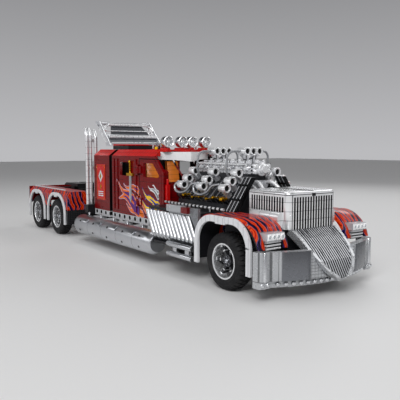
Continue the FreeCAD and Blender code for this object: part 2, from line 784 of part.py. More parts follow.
def door():
    """Right door with its window cut and hinge barrels on the rear edge."""
    y = -CAB_HALF_W
    panel = prism(door_outline(), "y", y, y + CAB_WALL)
    panel = panel.cut(prism(window_outline(), "y", y - OVERRUN, y + CAB_WALL + OVERRUN))
    axis_x, axis_y = hinge_axis()
    leaves = []
    for z in hinge_heights():
        top = z + HINGE_BARREL_H
        leaves.append(rod(V(axis_x, axis_y, z), V(axis_x, axis_y, top), HINGE_BARREL_R))
        leaves.append(box(axis_x, axis_x + HINGE_BARREL_R * 4, axis_y, y, z, top))
    bore = rod(V(axis_x, axis_y, DOOR_BOTTOM_Z), V(axis_x, axis_y, DOOR_TOP_Z), HINGE_PIN_R + RUN_CLEAR)
    return join([panel] + leaves).cut(bore)


# Inside the cab

def seat():
    """Right seat: cushion and raked back with a rolled top."""
    y0, y1 = -SEAT_OUT_Y, -SEAT_IN_Y
    low = SEAT_Z - SEAT_CUSHION_T
    top_x = SEAT_X - SEAT_LEAN
    cushion = box(SEAT_X, SEAT_X + SEAT_CUSHION_L, y0, y1, low, SEAT_Z)
    back = prism([(SEAT_X, low), (SEAT_X + SEAT_BACK_T, low), (top_x + SEAT_BACK_T, SEAT_TOP_Z), (top_x, SEAT_TOP_Z)],
                 "y", y0, y1)
    roll_x = top_x + SEAT_BACK_T / 2
    roll = rod(V(roll_x, y0, SEAT_TOP_Z), V(roll_x, y1, SEAT_TOP_Z), SEAT_BACK_T / 2)
    base = box(SEAT_X, SEAT_X + SEAT_CUSHION_L - PLATE_H, y0 + PLATE_H, y1 - PLATE_H,
               CAB_BOTTOM_Z + CAB_WALL + SEAT_GAP, low)
    return join([cushion, back, roll, base])


def dashboard():
    """Dashboard across the cab with a three-spoked wheel on the left."""
    x1 = CAB_FRONT_X - CAB_WALL - SEAT_GAP
    half, top, grip = CAB_HALF_W - CAB_WALL - DASH_SIDE_GAP, COWL_TOP_Z - SEAT_GAP, STEERING_GRIP_R
    panel = box(x1 - DASH_DEPTH, x1, -half, half, top - DASH_H, top)
    y, z = (SEAT_IN_Y + SEAT_OUT_Y) / 2, top - DASH_H / 2
    rear = V(x1 - DASH_DEPTH * 2, y, z)
    front = rear + V(grip * 2, 0, 0)
    ring = rod(rear, front, STEERING_RING_R + grip).cut(rod(rear, front, STEERING_RING_R - grip))
    column = rod(rear, V(x1 - DASH_DEPTH, y, z), grip)
    spoke = box(rear.x, front.x, y - grip, y + grip, z, z + STEERING_RING_R)
    spokes = [turned(spoke, "x", 360 * k / STEERING_SPOKES, rear) for k in range(STEERING_SPOKES)]
    return join([panel, ring, column] + spokes)


# Roof gear

def roof_lamps():
    """Four chrome lamps over the windscreen and two small corner markers."""
    lamps = []
    for y in LAMP_Y:
        lamps.append(cup(V(LAMP_X - LAMP_LEN, y, LAMP_Z), V(LAMP_X, y, LAMP_Z), LAMP_R, LAMP_BOWL_R, LAMP_BOWL_D))
    y, z = CAB_HALF_W - ROOF_INSET - MARKER_R, ROOF_Z + SEAT_GAP
    lamps.append(rod(V(MARKER_X, y, z), V(MARKER_X, y, z + MARKER_H), MARKER_R))
    return both_sides(lamps)


def roof_horn(y):
    """Chrome trumpet that lies along the roof and flares to the front."""
    front, z = AIR_HORN_FRONT_X, AIR_HORN_Z
    flare_x = front - AIR_HORN_FLARE
    neck = rod(V(front - AIR_HORN_LEN, y, z), V(flare_x, y, z), AIR_HORN_NECK_R)
    flare = Part.makeCone(AIR_HORN_NECK_R, AIR_HORN_R, AIR_HORN_FLARE, V(flare_x, y, z), AXES["x"])
    foot_x = front - AIR_HORN_LEN / 2
    foot = rod(V(foot_x, y, ROOF_Z + SEAT_GAP), V(foot_x, y, z), AIR_HORN_NECK_R)
    return join([neck, flare, foot])


def roof_horns():
    return both_sides([roof_horn(-AIR_HORN_Y - AIR_HORN_PITCH * k) for k in range(AIR_HORN_COUNT)])


def wing_line(share):
    """Point (x, z) on the wing's raked front plane, 0 at the foot and 1 at the top."""
    return (WING_X - WING_REAR_RUN * share, between(WING_LOW_Z, WING_TOP_Z, share))


def wing_side():
    """Right end plate of the wing: raked, with two openings."""
    (x0, z0), (x1, z1) = wing_line(0), wing_line(1)
    d, y = WING_SIDE_DEPTH, -WING_HALF_W
    heel_share, border_share = 0.25, 0.25
    plate = prism([(x0, z0), (x1, z1), (x1 - d, z1), (x0 - d, between(z0, z1, heel_share)), (x0 - d, z0)], "y", y,
                  y + WING_SIDE_T)
    edge = d * border_share
    cuts = []
    opening_shares = ((0.16, 0.36), (0.48, 0.86))
    for low, high in opening_shares:
        (ax, az), (bx, bz) = wing_line(low), wing_line(high)
        cuts.append(prism([(ax - edge, az), (bx - edge, bz), (bx - d + edge, bz), (ax - d + edge, az)], "y",
                          y - OVERRUN, y + WING_SIDE_T + OVERRUN))
    return plate.cut(cuts)


def wing_panel(low_share, high_share, low_half, high_half):
    """Raked panel between two heights of the wing, tapered to the top."""
    t = WING_PLATE_T
    loops = []
    for share, half in ((low_share, low_half), (high_share, high_half)):
        x, z = wing_line(share)
        x -= WING_PANEL_SET
        points = [V(x, -half, z), V(x, half, z), V(x - t, half, z), V(x - t, -half, z)]
        loops.append(Part.makePolygon(points + points[:1]))
    return Part.makeLoft(loops, True, True)


def roof_wing():
    """Roof wing: end plates, foot rail, two round bars and two panels."""
    inside = WING_HALF_W - WING_SIDE_T
    foot_x, foot_z = wing_line(0)
    depth = WING_PLATE_T * 2
    pieces = [box(foot_x - depth, foot_x, -inside, inside, foot_z, foot_z + depth)]
    bar_share, top_bar_share = 0.39, 0.90
    for share, r in ((bar_share, WING_BAR_R), (top_bar_share, WING_TOP_BAR_R)):
        x, z = wing_line(share)
        pieces.append(rod(V(x - r, -inside, z), V(x - r, inside, z), r))
    low_share, high_share = 0.13, 0.31
    pieces.append(wing_panel(low_share, high_share, inside, inside))
    pieces.append(wing_panel(bar_share, top_bar_share, WING_PANEL_LOW_W, WING_PANEL_TOP_W))
    return join(both_sides([wing_side()]) + pieces)


# Engine

def head_frame():
    """Top edge, outer edge and outward direction of the right head's upper face."""
    a, b = V(0, -HEAD_IN_Y, HEAD_IN_Z), V(0, -HEAD_OUT_Y, HEAD_OUT_Z)
    along = b.sub(a)
    along.normalize()
    return a, b, V(0, along.z, -along.y)


def engine_block():
    """Crankcase, two slanted banks and the housing under the blower."""
    low = RAIL_TOP_Z + SEAT_GAP
    waist_share, shoulder_share = 0.35, 0.72
    waist_z, shoulder_z = between(low, HEAD_OUT_Z, waist_share), between(low, HEAD_OUT_Z, shoulder_share)
    a, b, out = head_frame()
    drop = out * (HEAD_T + SEAT_GAP * 2)
    top, side = a - drop, b - drop
    right = [(-CRANKCASE_HALF_W, low), (-CRANKCASE_HALF_W, waist_z), (side.y, shoulder_z), (side.y, side.z),
             (top.y, top.z), (top.y, BLOWER_LOW_Z - SEAT_GAP)]
    left = [(-y, z) for y, z in right]
    return prism(right + left[::-1], "x", ENGINE_REAR_X, ENGINE_FRONT_X)


def cylinder_head():
    """Right chrome head: a slab along the slanted bank with grooves across."""
    a, b, out = head_frame()
    loop = [(p.y, p.z) for p in (a, b, b - out * HEAD_T, a - out * HEAD_T)]
    slab = prism(loop, "x", ENGINE_REAR_X + PLATE_H, ENGINE_FRONT_X)
    skin = [(p.y, p.z) for p in (a + out * OVERRUN, b + out * OVERRUN, b - out * HEAD_GROOVE, a - out * HEAD_GROOVE)]
    grooves = []
    for front, rear in zip(HORN_COLUMNS_X, HORN_COLUMNS_X[1:]):
        x = (front + rear - HORN_LEN) / 2
        for shift in (-STUD, 0, STUD):
            grooves.append(prism(skin, "x", x + shift - HEAD_GROOVE / 2, x + shift + HEAD_GROOVE / 2))
    return slab.cut(grooves)


def horn(x, share):
    """One intake horn that opens forward, on a stub square to the head."""
    a, b, out = head_frame()
    root = a + (b - a) * share
    mouth = root + out * HORN_STAND + V(x, 0, 0)
    rear = mouth - V(HORN_LEN, 0, 0)
    centre = rear + V(HORN_LEN, 0, 0) / 4
    foot = V(centre.x, root.y, root.z) + out * SEAT_GAP
    body = rod(rear, mouth, HORN_R).fuse([rod(foot, centre, HORN_STUB_R), Part.makeSphere(HORN_STUB_R, centre)])
    return body.cut(rod(mouth - V(HORN_DEPTH, 0, 0), mouth + V(HORN_DEPTH, 0, 0), HORN_BORE_R))


def intake_horns():
    return both_sides([horn(x, share) for x in HORN_COLUMNS_X for share in HORN_ROW_SHARES])


def tube_stand(x):
    """V-shaped stand of one set of ram tubes."""
    low, high = BLOWER_TOP_Z, TOP_TUBE_Z - TOP_TUBE_R - SEAT_GAP
    w, t = TOP_TUBE_PITCH, STAND_T
    notch_share = 0.35
    notch = between(low, high, notch_share)
    outline = [(-t, low), (t, low), (w + t, high), (w - t, high), (0, notch), (-w + t, high), (-w - t, high)]
    return prism(outline, "x", x - TOP_TUBE_LEN / 2 - t, x - TOP_TUBE_LEN / 2 + t)


def blower():
    """Chrome blower: ribbed body, two round bars and the tubes' stands."""
    half = BLOWER_HALF_W
    body = box(BLOWER_REAR_X, BLOWER_FRONT_X, -half, half, BLOWER_LOW_Z, BLOWER_TOP_Z)
    slots = []
    step = (BLOWER_TOP_Z - BLOWER_LOW_Z) / BLOWER_RIB_COUNT
    for k in range(BLOWER_RIB_COUNT):
        z = BLOWER_LOW_Z + step * k + step / 2
        slots.append(box(BLOWER_REAR_X - OVERRUN, BLOWER_FRONT_X + OVERRUN, -half - OVERRUN, -half + BLOWER_RIB,
                         z - BLOWER_RIB / 2, z + BLOWER_RIB / 2))
    rear, front = BLOWER_REAR_X + STUD, BLOWER_FRONT_X - STUD
    z = BLOWER_TOP_Z + TOP_BAR_R / 2
    bar = rod(V(rear, -TOP_BAR_Y, z), V(front, -TOP_BAR_Y, z), TOP_BAR_R)
    stands = [tube_stand(x) for x in TOP_TUBE_OPEN_X]
    return join([body.cut(both_sides(slots))] + both_sides([bar]) + stands)


def top_tubes():
    """Two sets of three ram tubes above the engine."""
    tubes = []
    for x in TOP_TUBE_OPEN_X:
        for y in (-TOP_TUBE_PITCH, 0, TOP_TUBE_PITCH):
            tubes.append(cup(V(x - TOP_TUBE_LEN, y, TOP_TUBE_Z), V(x, y, TOP_TUBE_Z), TOP_TUBE_R, TOP_TUBE_BORE_R,
                             TOP_TUBE_DEPTH))
    return tubes


def pulleys():
    """Belt case with a crank pulley and two small ones on the engine's front."""
    x0 = ENGINE_FRONT_X + SEAT_GAP
    x1 = x0 + BELT_CASE_T
    case_share, crank_share = 0.45, 0.2
    low, high = between(RAIL_TOP_Z, HEAD_IN_Z, case_share), HEAD_IN_Z
    case = box(x0, x1, -BELT_CASE_HALF_W, BELT_CASE_HALF_W, low, high)
    crank_z = between(low, high, crank_share)
    discs = [rod(V(x1, 0, crank_z), V(x1 + CRANK_PULLEY_T, 0, crank_z), CRANK_PULLEY_R)]
    y, z = BELT_CASE_HALF_W - PULLEY_R, high - PULLEY_R
    return join([case] + discs + both_sides([rod(V(x1, -y, z), V(x1 + PULLEY_T, -y, z), PULLEY_R)]))


def cooler():
    """Right ribbed cooler that leans in beside the engine's front."""
    foot_z, top_z = ARCH_TOP_Z + SEAT_GAP, COOLER_TOP_Z
    foot_y, top_y = -COOLER_FOOT_Y, -COOLER_TOP_Y

    def leaning(depth, x0, x1):
        return prism([(foot_y, foot_z), (top_y, top_z), (top_y + depth, top_z), (foot_y + depth, foot_z)], "x", x0, x1)

    rear = COOLER_FRONT_X - COOLER_L
    grooves = []
    for k in range(int(COOLER_L / COOLER_RIB_PITCH)):
        x = rear + COOLER_RIB_PITCH * k + COOLER_RIB_W
        grooves.append(leaning(COOLER_RIB_W, x, x + COOLER_RIB_PITCH - COOLER_RIB_W))
    return leaning(COOLER_T, rear, COOLER_FRONT_X).cut(grooves)


def bay_shelf():
    """Right dark shelf between the cab and the front fender."""
    return box(CAB_FRONT_X + SEAT_GAP, ARCH_REAR_X - SEAT_GAP, -SHELF_OUT_Y, -SHELF_IN_Y, SHELF_Z, SHELF_Z + SHELF_T)


def bay_rail():
    """Right chrome rail on posts beside the engine."""
    z = ARCH_TOP_Z + SEAT_GAP + BAY_RAIL_R
    rear, front = CAB_FRONT_X + STUD, COOLER_FRONT_X - COOLER_L - SEAT_GAP
    rail = rod(V(rear, -BAY_RAIL_Y, z), V(front, -BAY_RAIL_Y, z), BAY_RAIL_R)
    low = SHELF_Z + SHELF_T + SEAT_GAP
    post_shares = (0.1, 0.45, 0.8)
    posts = []
    for share in post_shares:
        x = between(rear, front, share)
        posts.append(rod(V(x, -BAY_RAIL_Y, low), V(x, -BAY_RAIL_Y, z), BAY_RAIL_R))
    return join([rail] + posts)


def side_panel():
    """Right panel over the front pipes: ledge, face, raised block and gusset."""
    y0, y1 = -PANEL_FACE_Y, -PANEL_FACE_Y + PANEL_T
    ledge_z = PIPE_TOP_Z + SEAT_GAP
    face_z = ledge_z + PANEL_LEDGE_H
    top = face_z + PANEL_H
    back = -PANEL_FACE_Y + PANEL_T / 2
    end = ARCH_REAR_X - SEAT_GAP
    ledge = box(PANEL_REAR_X, end, back, y1, ledge_z, face_z)
    face = box(PANEL_REAR_X, PANEL_SPLIT_X, y0, y1, face_z, top)
    block = box(PANEL_SPLIT_X, PANEL_FRONT_X, y0 - PANEL_BLOCK_D, y1, face_z, top - PANEL_BLOCK_D)
    gusset = box(PANEL_FRONT_X, end, back, y1, face_z, top - PANEL_BLOCK_D)
    web = prism([(PANEL_FRONT_X, ledge_z), (end, ledge_z), (end, PIPE_LOW_Z + STUD)], "y", back, y1)
    return join([ledge, face, block, gusset, web])


def hose(points):
    """Round hose along a route, straight runs joined by tangent arcs."""
    edges = []
    start = points[0]
    for a, b, c in zip(points, points[1:], points[2:]):
        u, w = a.sub(b), c.sub(b)
        reach = min(u.Length, w.Length) * ARC_SHARE
        u.normalize()
        w.normalize()
        p, q = b + u * reach, b + w * reach
        half_turn = (math.pi - u.getAngle(w)) / 2
        radius = reach / math.tan(half_turn)
        bisector = u + w
        bisector.normalize()
        middle = b + bisector * (radius / math.cos(half_turn) - radius)
        print("hose radius", round(radius, 1))
        edges.append(line(start, p))
        edges.append(arc(p, middle, q))
        start = q
    edges.append(line(start, points[-1]))
    ring = Part.Wire(Part.makeCircle(HOSE_R, points[0], points[1].sub(points[0])))
    return Part.Wire(edges).makePipe(Part.Face(ring))


def engine_hose(open_x):
    """Right hose from the head's top edge up into the side of a ram tube."""
    a, b, out = head_frame()
    root_share = 0.1
    root = a + (b - a) * root_share
    x = open_x - TOP_TUBE_LEN / 2
    start = V(x - HOSE_LEAN, root.y, root.z) + out * SEAT_GAP
    knee = start + out * HOSE_RUN
    shoulder = V(x - HOSE_LEAN / 2, -HOSE_OUT_Y, TOP_TUBE_Z)
    end = V(x, -TOP_TUBE_PITCH - TOP_TUBE_R - SEAT_GAP, TOP_TUBE_Z)
    return hose([start, knee, shoulder, end])


# Nose

def radiator_shell():
    """Chrome shell with upright ribs and a smooth hood block on each side."""
    w, r = SHELL_HALF_W, SHELL_ROUND
    rear, front = SHELL_REAR_X, SHELL_FRONT_X
    m = r * CORNER_SHARE
    plan = [line(V(rear, -w, 0), V(front - r, -w, 0)),
            arc(V(front - r, -w, 0), V(front - m, -w + m, 0), V(front, -w + r, 0)),
            line(V(front, -w + r, 0), V(front, w - r, 0)),
            arc(V(front, w - r, 0), V(front - m, w - m, 0), V(front - r, w, 0)),
            line(V(front - r, w, 0), V(rear, w, 0)), line(V(rear, w, 0), V(rear, -w, 0))]
    body = moved(face_from(plan).extrude(V(0, 0, SHELL_TOP_Z - SHELL_BOTTOM_Z)), z=SHELL_BOTTOM_Z)
    rim_edges = [e for e in body.Edges
                 if e.BoundBox.ZMin > SHELL_TOP_Z - SEAT_GAP and e.BoundBox.XMax > rear + SEAT_GAP]
    body = body.makeFillet(SHELL_EDGE_R, rim_edges)
    cuts = []
    gap = RIB_PITCH - RIB_W
    count = int((w - r) / RIB_PITCH) * 2
    for k in range(count + 1):
        y = RIB_PITCH * (k - count / 2)
        cuts.append(box(front - RIB_D, front + OVERRUN, y - gap / 2, y + gap / 2, SHELL_BOTTOM_Z - OVERRUN,
                        FRONT_GRILLE_TOP_Z))
    for k in range(int((front - r - rear) / RIB_PITCH)):
        x = front - r - RIB_PITCH * k
        for y0, y1 in ((-w - OVERRUN, -w + RIB_D), (w - RIB_D, w + OVERRUN)):
            cuts.append(box(x - gap / 2, x + gap / 2, y0, y1, SIDE_GRILLE_LOW_Z, SIDE_GRILLE_TOP_Z))
    return join([body.cut(cuts)] + both_sides([hood_block()]))


def hood_block():
    """Right smooth block under the side grille, rounded along its top."""
    y0, y1 = -SHELL_HALF_W - HOOD_BLOCK_T, -SHELL_HALF_W
    low, top, r = HOOD_BLOCK_LOW_Z, SIDE_GRILLE_LOW_Z, HOOD_BLOCK_ROUND
    m = r * CORNER_SHARE
    section = [line(V(0, y1, low), V(0, y0, low)), line(V(0, y0, low), V(0, y0, top - r)),
               arc(V(0, y0, top - r), V(0, y0 + m, top - m), V(0, y0 + r, top)),
               line(V(0, y0 + r, top), V(0, y1, top)), line(V(0, y1, top), V(0, y1, low))]
    x0, x1 = SHELL_REAR_X + STUD, SHELL_FRONT_X - SHELL_ROUND
    return moved(face_from(section).extrude(V(x1 - x0, 0, 0)), x=x0)


def prow_line(offset):
    """Side line of the prow from the shell to the tip, moved out by an offset."""
    x0, z0 = SHELL_FRONT_X - RIB_D, SHELL_BOTTOM_Z - SEAT_GAP
    run_x, run_z = PROW_TIP_X - x0, z0 - PROW_TIP_Z
    line_shares = ((0.0, 0.0), (0.30, 0.20), (0.54, 0.40), (0.78, 0.64), (1.0, 1.0))
    out = offset * DIAGONAL_SHARE
    return [(x0 + run_x * a + out, z0 - run_z * b + out) for a, b in line_shares]


def prow_front(grow=0.0):
    """Front outline of the prow, wide at the top and pointed below."""
    top = SHELL_BOTTOM_Z - SEAT_GAP
    height = top - PROW_TIP_Z + grow
    outline_shares = ((1.0, 0.0), (0.97, 0.2), (0.90, 0.4), (0.76, 0.6), (0.48, 0.82), (0.10, 1.0))
    right = [(-(PROW_HALF_W + grow) * a, top - height * b) for a, b in outline_shares]
    left = [(-y, z) for y, z in right]
    return right + left[::-1]


def prow_band(out, inward, half_w):
    """Bent slab that follows the prow's side line between two depths."""
    band = prism(prow_line(out) + prow_line(-inward)[::-1], "y", -half_w, half_w)
    over = box(0, PROW_TIP_X * 2, -half_w, half_w, SHELL_BOTTOM_Z - SEAT_GAP, SHELL_TOP_Z)
    return band.cut(over)


def prow():
    """Ribbed prow under the radiator shell."""
    skin = prow_band(PROW_RIB_D, SEAT_GAP, PROW_HALF_W)
    count = int(2 * PROW_HALF_W / PROW_RIB_PITCH)
    ribs = []
    for k in range(count):
        y = PROW_RIB_PITCH * (k - (count - 1) / 2)
        slot = box(0, PROW_TIP_X * 2, y - PROW_RIB_W / 2, y + PROW_RIB_W / 2, 0, SHELL_TOP_Z)
        ribs.append(skin.common(slot))
    front = prism(prow_front(), "x", 0, PROW_TIP_X * 2)
    return join([prow_band(0, PROW_WALL, PROW_HALF_W)] + ribs).common(front)


def prow_trims():
    """Pale curved trims along both edges of the prow."""
    band = prow_band(PROW_TRIM_D, PROW_WALL, PROW_HALF_W + PROW_TRIM_W * 2)
    outer = prism(prow_front(PROW_TRIM_W), "x", 0, PROW_TIP_X * 2)
    inner = prism(prow_front(SEAT_GAP), "x", -OVERRUN, PROW_TIP_X * 2 + OVERRUN)
    return band.common(outer).cut(inner)


def bumper_front_x(y):
    """Where the bumper's curved face is at a distance from the middle."""
    half, rise = BUMPER_HALF_W - BUMPER_COLUMN, BUMPER_TIP_X - BUMPER_SIDE_X
    radius = (half * half + rise * rise) / (2 * rise)
    return BUMPER_TIP_X - radius + math.sqrt(radius * radius - y * y)


def bumper_strip(y0, y1, front, back, low, high):
    """Curved strip of the bumper between two widths, depths and heights."""
    def point(y, offset):
        return V(bumper_front_x(y) + offset, y, low)

    middle = (y0 + y1) / 2
    face = face_from([arc(point(y0, front), point(middle, front), point(y1, front)),
                      line(point(y1, front), point(y1, back)),
                      arc(point(y1, back), point(middle, back), point(y0, back)),
                      line(point(y0, back), point(y0, front))])
    return face.extrude(V(0, 0, high - low))


def bumper_column():
    """Right end column of the bumper, rounded at its outer front corner."""
    x0, x1 = BUMPER_SIDE_X - BUMPER_COLUMN, BUMPER_SIDE_X - BUMPER_COLUMN_SET
    w, inner, r = BUMPER_HALF_W, BUMPER_HALF_W - BUMPER_COLUMN, BUMPER_COLUMN_ROUND
    m = r * CORNER_SHARE
    plan = [line(V(x0, -inner, 0), V(x0, -w, 0)), line(V(x0, -w, 0), V(x1 - r, -w, 0)),
            arc(V(x1 - r, -w, 0), V(x1 - m, -w + m, 0), V(x1, -w + r, 0)), line(V(x1, -w + r, 0), V(x1, -inner, 0)),
            line(V(x1, -inner, 0), V(x0, -inner, 0))]
    return moved(face_from(plan).extrude(V(0, 0, BUMPER_TOP_Z - BUMPER_BOTTOM_Z)), z=BUMPER_BOTTOM_Z)


def bumper():
    """Deep bumper: curved face, raised plates and end columns, open at the prow."""
    half = BUMPER_HALF_W - BUMPER_COLUMN
    lip_z = BUMPER_BOTTOM_Z + BUMPER_LIP_H
    wall = bumper_strip(-half, half, 0, -BUMPER_WALL, lip_z, BUMPER_TOP_Z)
    lip = bumper_strip(-half, half, -BUMPER_LIP_SET, -BUMPER_WALL, BUMPER_BOTTOM_Z, lip_z)
    plate = bumper_strip(-BUMPER_PANEL_OUT_Y, -BUMPER_PANEL_IN_Y, BUMPER_PANEL_T, -BUMPER_PANEL_T, lip_z, BUMPER_TOP_Z)
    gate = prism(prow_front(PROW_TRIM_W + SEAT_GAP), "x", 0, PROW_TIP_X * 2)
    return join([wall, lip] + both_sides([bumper_column(), plate])).cut(gate)


# Fenders

def fender_curve(set_in):
    """Edges of the front fender's outer line, set in by a thickness."""
    x0, x1, top = ARCH_REAR_X + set_in, FENDER_TIP_X - set_in, ARCH_TOP_Z - set_in
    rear, front, fall = FENDER_REAR_TURN, FENDER_FRONT_TURN, top - FENDER_TIP_Z
    return [arc(V(x0, 0, FENDER_TIP_Z), V(x0 + rear * CORNER_SHARE, 0, top - fall * CORNER_SHARE),
                V(x0 + rear, 0, top)),
            line(V(x0 + rear, 0, top), V(x1 - front, 0, top)),
            arc(V(x1 - front, 0, top), V(x1 - front * CORNER_SHARE, 0, top - fall * CORNER_SHARE),
                V(x1, 0, FENDER_TIP_Z))]


def fender_sheet(set_in, wall, y0, y1):
    """Bent sheet along the fender line, one wall thick."""
    outer, inner = fender_curve(set_in), fender_curve(set_in + wall)
    ends = [line(outer[k].Vertexes[k].Point, inner[k].Vertexes[k].Point) for k in (0, -1)]
    return moved(face_from(outer + inner + ends).extrude(V(0, y1 - y0, 0)), y=y0)


def lamp_notch(top):
    """Room for the lamp box, up to a given height."""
    return box(LAMP_BOX_FRONT_X - LAMP_BOX_DEPTH - SEAT_GAP, LAMP_BOX_FRONT_X + OVERRUN, -LAMP_BOX_OUT_Y - SEAT_GAP,
               -LAMP_BOX_IN_Y + SEAT_GAP, FENDER_TIP_Z - OVERRUN, top)


def front_fender():
    """Right painted fender, notched for the lamp box."""
    sheet = fender_sheet(0, FENDER_WALL, -ARCH_FACE_Y + ARCH_T + SEAT_GAP, -FENDER_INNER_Y)
    return sheet.cut(lamp_notch(LAMP_BOX_Z + LAMP_BOX_H + SEAT_GAP))


def wheel_well():
    """Right dark liner under the fender, with a leg behind the wheel."""
    set_in = FENDER_WALL + SEAT_GAP
    y0, y1 = -ARCH_FACE_Y + ARCH_T + SEAT_GAP, -WELL_INNER_Y
    sheet = fender_sheet(set_in, WELL_T, y0, y1)
    x0 = ARCH_REAR_X + set_in
    leg = box(x0, x0 + WELL_T, y0, y1, WELL_FOOT_Z, FENDER_TIP_Z)
    return join([sheet, leg]).cut(lamp_notch(ARCH_TOP_Z))


def arch_line(x0, x1, top, foot, turn):
    """Edges of an arch: two uprights, two corner arcs and a crown."""
    m = turn * CORNER_SHARE
    return [line(V(x0, 0, foot), V(x0, 0, top - turn)),
            arc(V(x0, 0, top - turn), V(x0 + m, 0, top - m), V(x0 + turn, 0, top)),
            line(V(x0 + turn, 0, top), V(x1 - turn, 0, top)),
            arc(V(x1 - turn, 0, top), V(x1 - m, 0, top - m), V(x1, 0, top - turn)),
            line(V(x1, 0, top - turn), V(x1, 0, foot))]


def arch_band(x0, x1, top, band, foot, turn, y):
    """Arch of one band's width whose outer face is at y."""
    edges = arch_line(x0, x1, top, foot, turn) + arch_line(x0 + band, x1 - band, top - band, foot, turn - band)
    edges.append(line(V(x0, 0, foot), V(x0 + band, 0, foot)))
    edges.append(line(V(x1, 0, foot), V(x1 - band, 0, foot)))
    return moved(face_from(edges).extrude(V(0, ARCH_T, 0)), y=y)


def front_arch():
    """Right pale arch round the front wheel, with a plate at its crown."""
    y = -ARCH_FACE_Y
    band = arch_band(ARCH_REAR_X, ARCH_FRONT_X, ARCH_TOP_Z, ARCH_BAND, ARCH_LEG_Z, ARCH_TURN, y)
    x, d = (ARCH_REAR_X + ARCH_FRONT_X) / 2, ARCH_PLATE_D
    plate = box(x - ARCH_PLATE_L / 2, x + ARCH_PLATE_L / 2, y - d, y + ARCH_T, ARCH_TOP_Z - ARCH_BAND - d,
                ARCH_TOP_Z - d)
    return join([band, plate])


def headlight():
    """Right lamp box with its stack of bars."""
    x1, x0 = LAMP_BOX_FRONT_X, LAMP_BOX_FRONT_X - LAMP_BOX_DEPTH
    y0, y1 = -LAMP_BOX_OUT_Y, -LAMP_BOX_IN_Y
    low, bar_x = BUMPER_TOP_Z + SEAT_GAP, x1 - LAMP_BAR_SET
    head = box(x0, x1, y0, y1, LAMP_BOX_Z, LAMP_BOX_Z + LAMP_BOX_H)
    neck = box(x0, bar_x, y0 + LAMP_NECK_SET, y1 - LAMP_NECK_SET, low, LAMP_BOX_Z)
    step = (LAMP_BOX_Z - low) / LAMP_BAR_COUNT
    bars = []
    for k in range(LAMP_BAR_COUNT):
        z = low + step * k + step / 2
        bars.append(rod(V(bar_x, y0 + LAMP_NECK_SET, z), V(bar_x, y1 - LAMP_NECK_SET, z), LAMP_BAR_R))
    return join([head, neck] + bars)


# Rear deck

def deck_middle_x():
    return (REAR_AXLE_1_X + REAR_AXLE_2_X) / 2


def wheel_window(x):
    """Opening in the deck's side behind one arch."""
    side = REAR_ARCH_BAND / 2
    half, top, turn = REAR_ARCH_HALF - side, REAR_ARCH_TOP_Z - side, REAR_ARCH_TURN - side
    foot = SKIRT_BOTTOM_Z
    edges = arch_line(x - half, x + half, top, foot, turn) + [line(V(x - half, 0, foot), V(x + half, 0, foot))]
    return moved(face_from(edges).extrude(V(0, DECK_WALL + OVERRUN * 2, 0)), y=-DECK_HALF_W - OVERRUN)


def deck_half():
    """Right half of the painted deck, with its front wall and dark skirt."""
    w, inner, c, t = DECK_HALF_W, DECK_INNER_Y, DECK_CHAMFER, DECK_WALL
    slope = t * (math.sqrt(2) - 1)
    outline = [(-w, DECK_EDGE_Z), (-w, DECK_TOP_Z - c), (-w + c, DECK_TOP_Z), (-inner, DECK_TOP_Z),
               (-inner, DECK_TOP_Z - t), (-w + c + slope, DECK_TOP_Z - t), (-w + t, DECK_TOP_Z - c - slope),
               (-w + t, DECK_EDGE_Z)]
    sheet = prism(outline, "x", DECK_REAR_X, DECK_FRONT_X)
    end = [(-w, SKIRT_BOTTOM_Z), (-w, DECK_TOP_Z - c), (-w + c, DECK_TOP_Z), (-inner, DECK_TOP_Z),
           (-inner, SKIRT_BOTTOM_Z)]
    front = prism(end, "x", DECK_FRONT_X - t, DECK_FRONT_X)
    return join([sheet, front]).cut([wheel_window(REAR_AXLE_1_X), wheel_window(REAR_AXLE_2_X)])


def rear_arch(x):
    """Right pale arch round one rear wheel, with a small drop at its crown."""
    y = -DECK_HALF_W - ARCH_T - SEAT_GAP
    band = arch_band(x - REAR_ARCH_HALF, x + REAR_ARCH_HALF, REAR_ARCH_TOP_Z, REAR_ARCH_BAND, REAR_ARCH_LEG_Z,
                     REAR_ARCH_TURN, y)
    n, h = REAR_ARCH_NOTCH, REAR_ARCH_NOTCH_H
    crown = REAR_ARCH_TOP_Z - REAR_ARCH_BAND
    drop = prism([(x - n - h, crown), (x + n + h, crown), (x + n, crown - h), (x - n, crown - h)], "y", y, y + ARCH_T)
    return join([band, drop])


def deck_frames():
    """Dark cross beams on posts under the deck, and the stand of the stacks."""
    top = DECK_TOP_Z - DECK_WALL - SEAT_GAP
    reach = DECK_HALF_W - DECK_CHAMFER - DECK_WALL
    low, beam_low = RAIL_TOP_Z + SEAT_GAP, top - DECK_BEAM_H
    frames = []
    for x in (RAIL_REAR_X, deck_middle_x() - DECK_BEAM_W / 2, DECK_FRONT_X - DECK_WALL - SEAT_GAP - DECK_BEAM_W):
        beam = box(x, x + DECK_BEAM_W, -reach, reach, beam_low, top)
        post = box(x, x + DECK_BEAM_W, RAIL_Y - RAIL_W / 2, RAIL_Y + RAIL_W / 2, low, beam_low)
        frames.append(join([beam] + both_sides([post])))
    half = STACK_STAND_L / 2
    side = STACK_OUTER_Y + STACK_PITCH + STACK_R
    frames.append(box(STACK_X - half, STACK_X + half, -side, side, low, STACK_FOOT_Z - SEAT_GAP))
    return frames


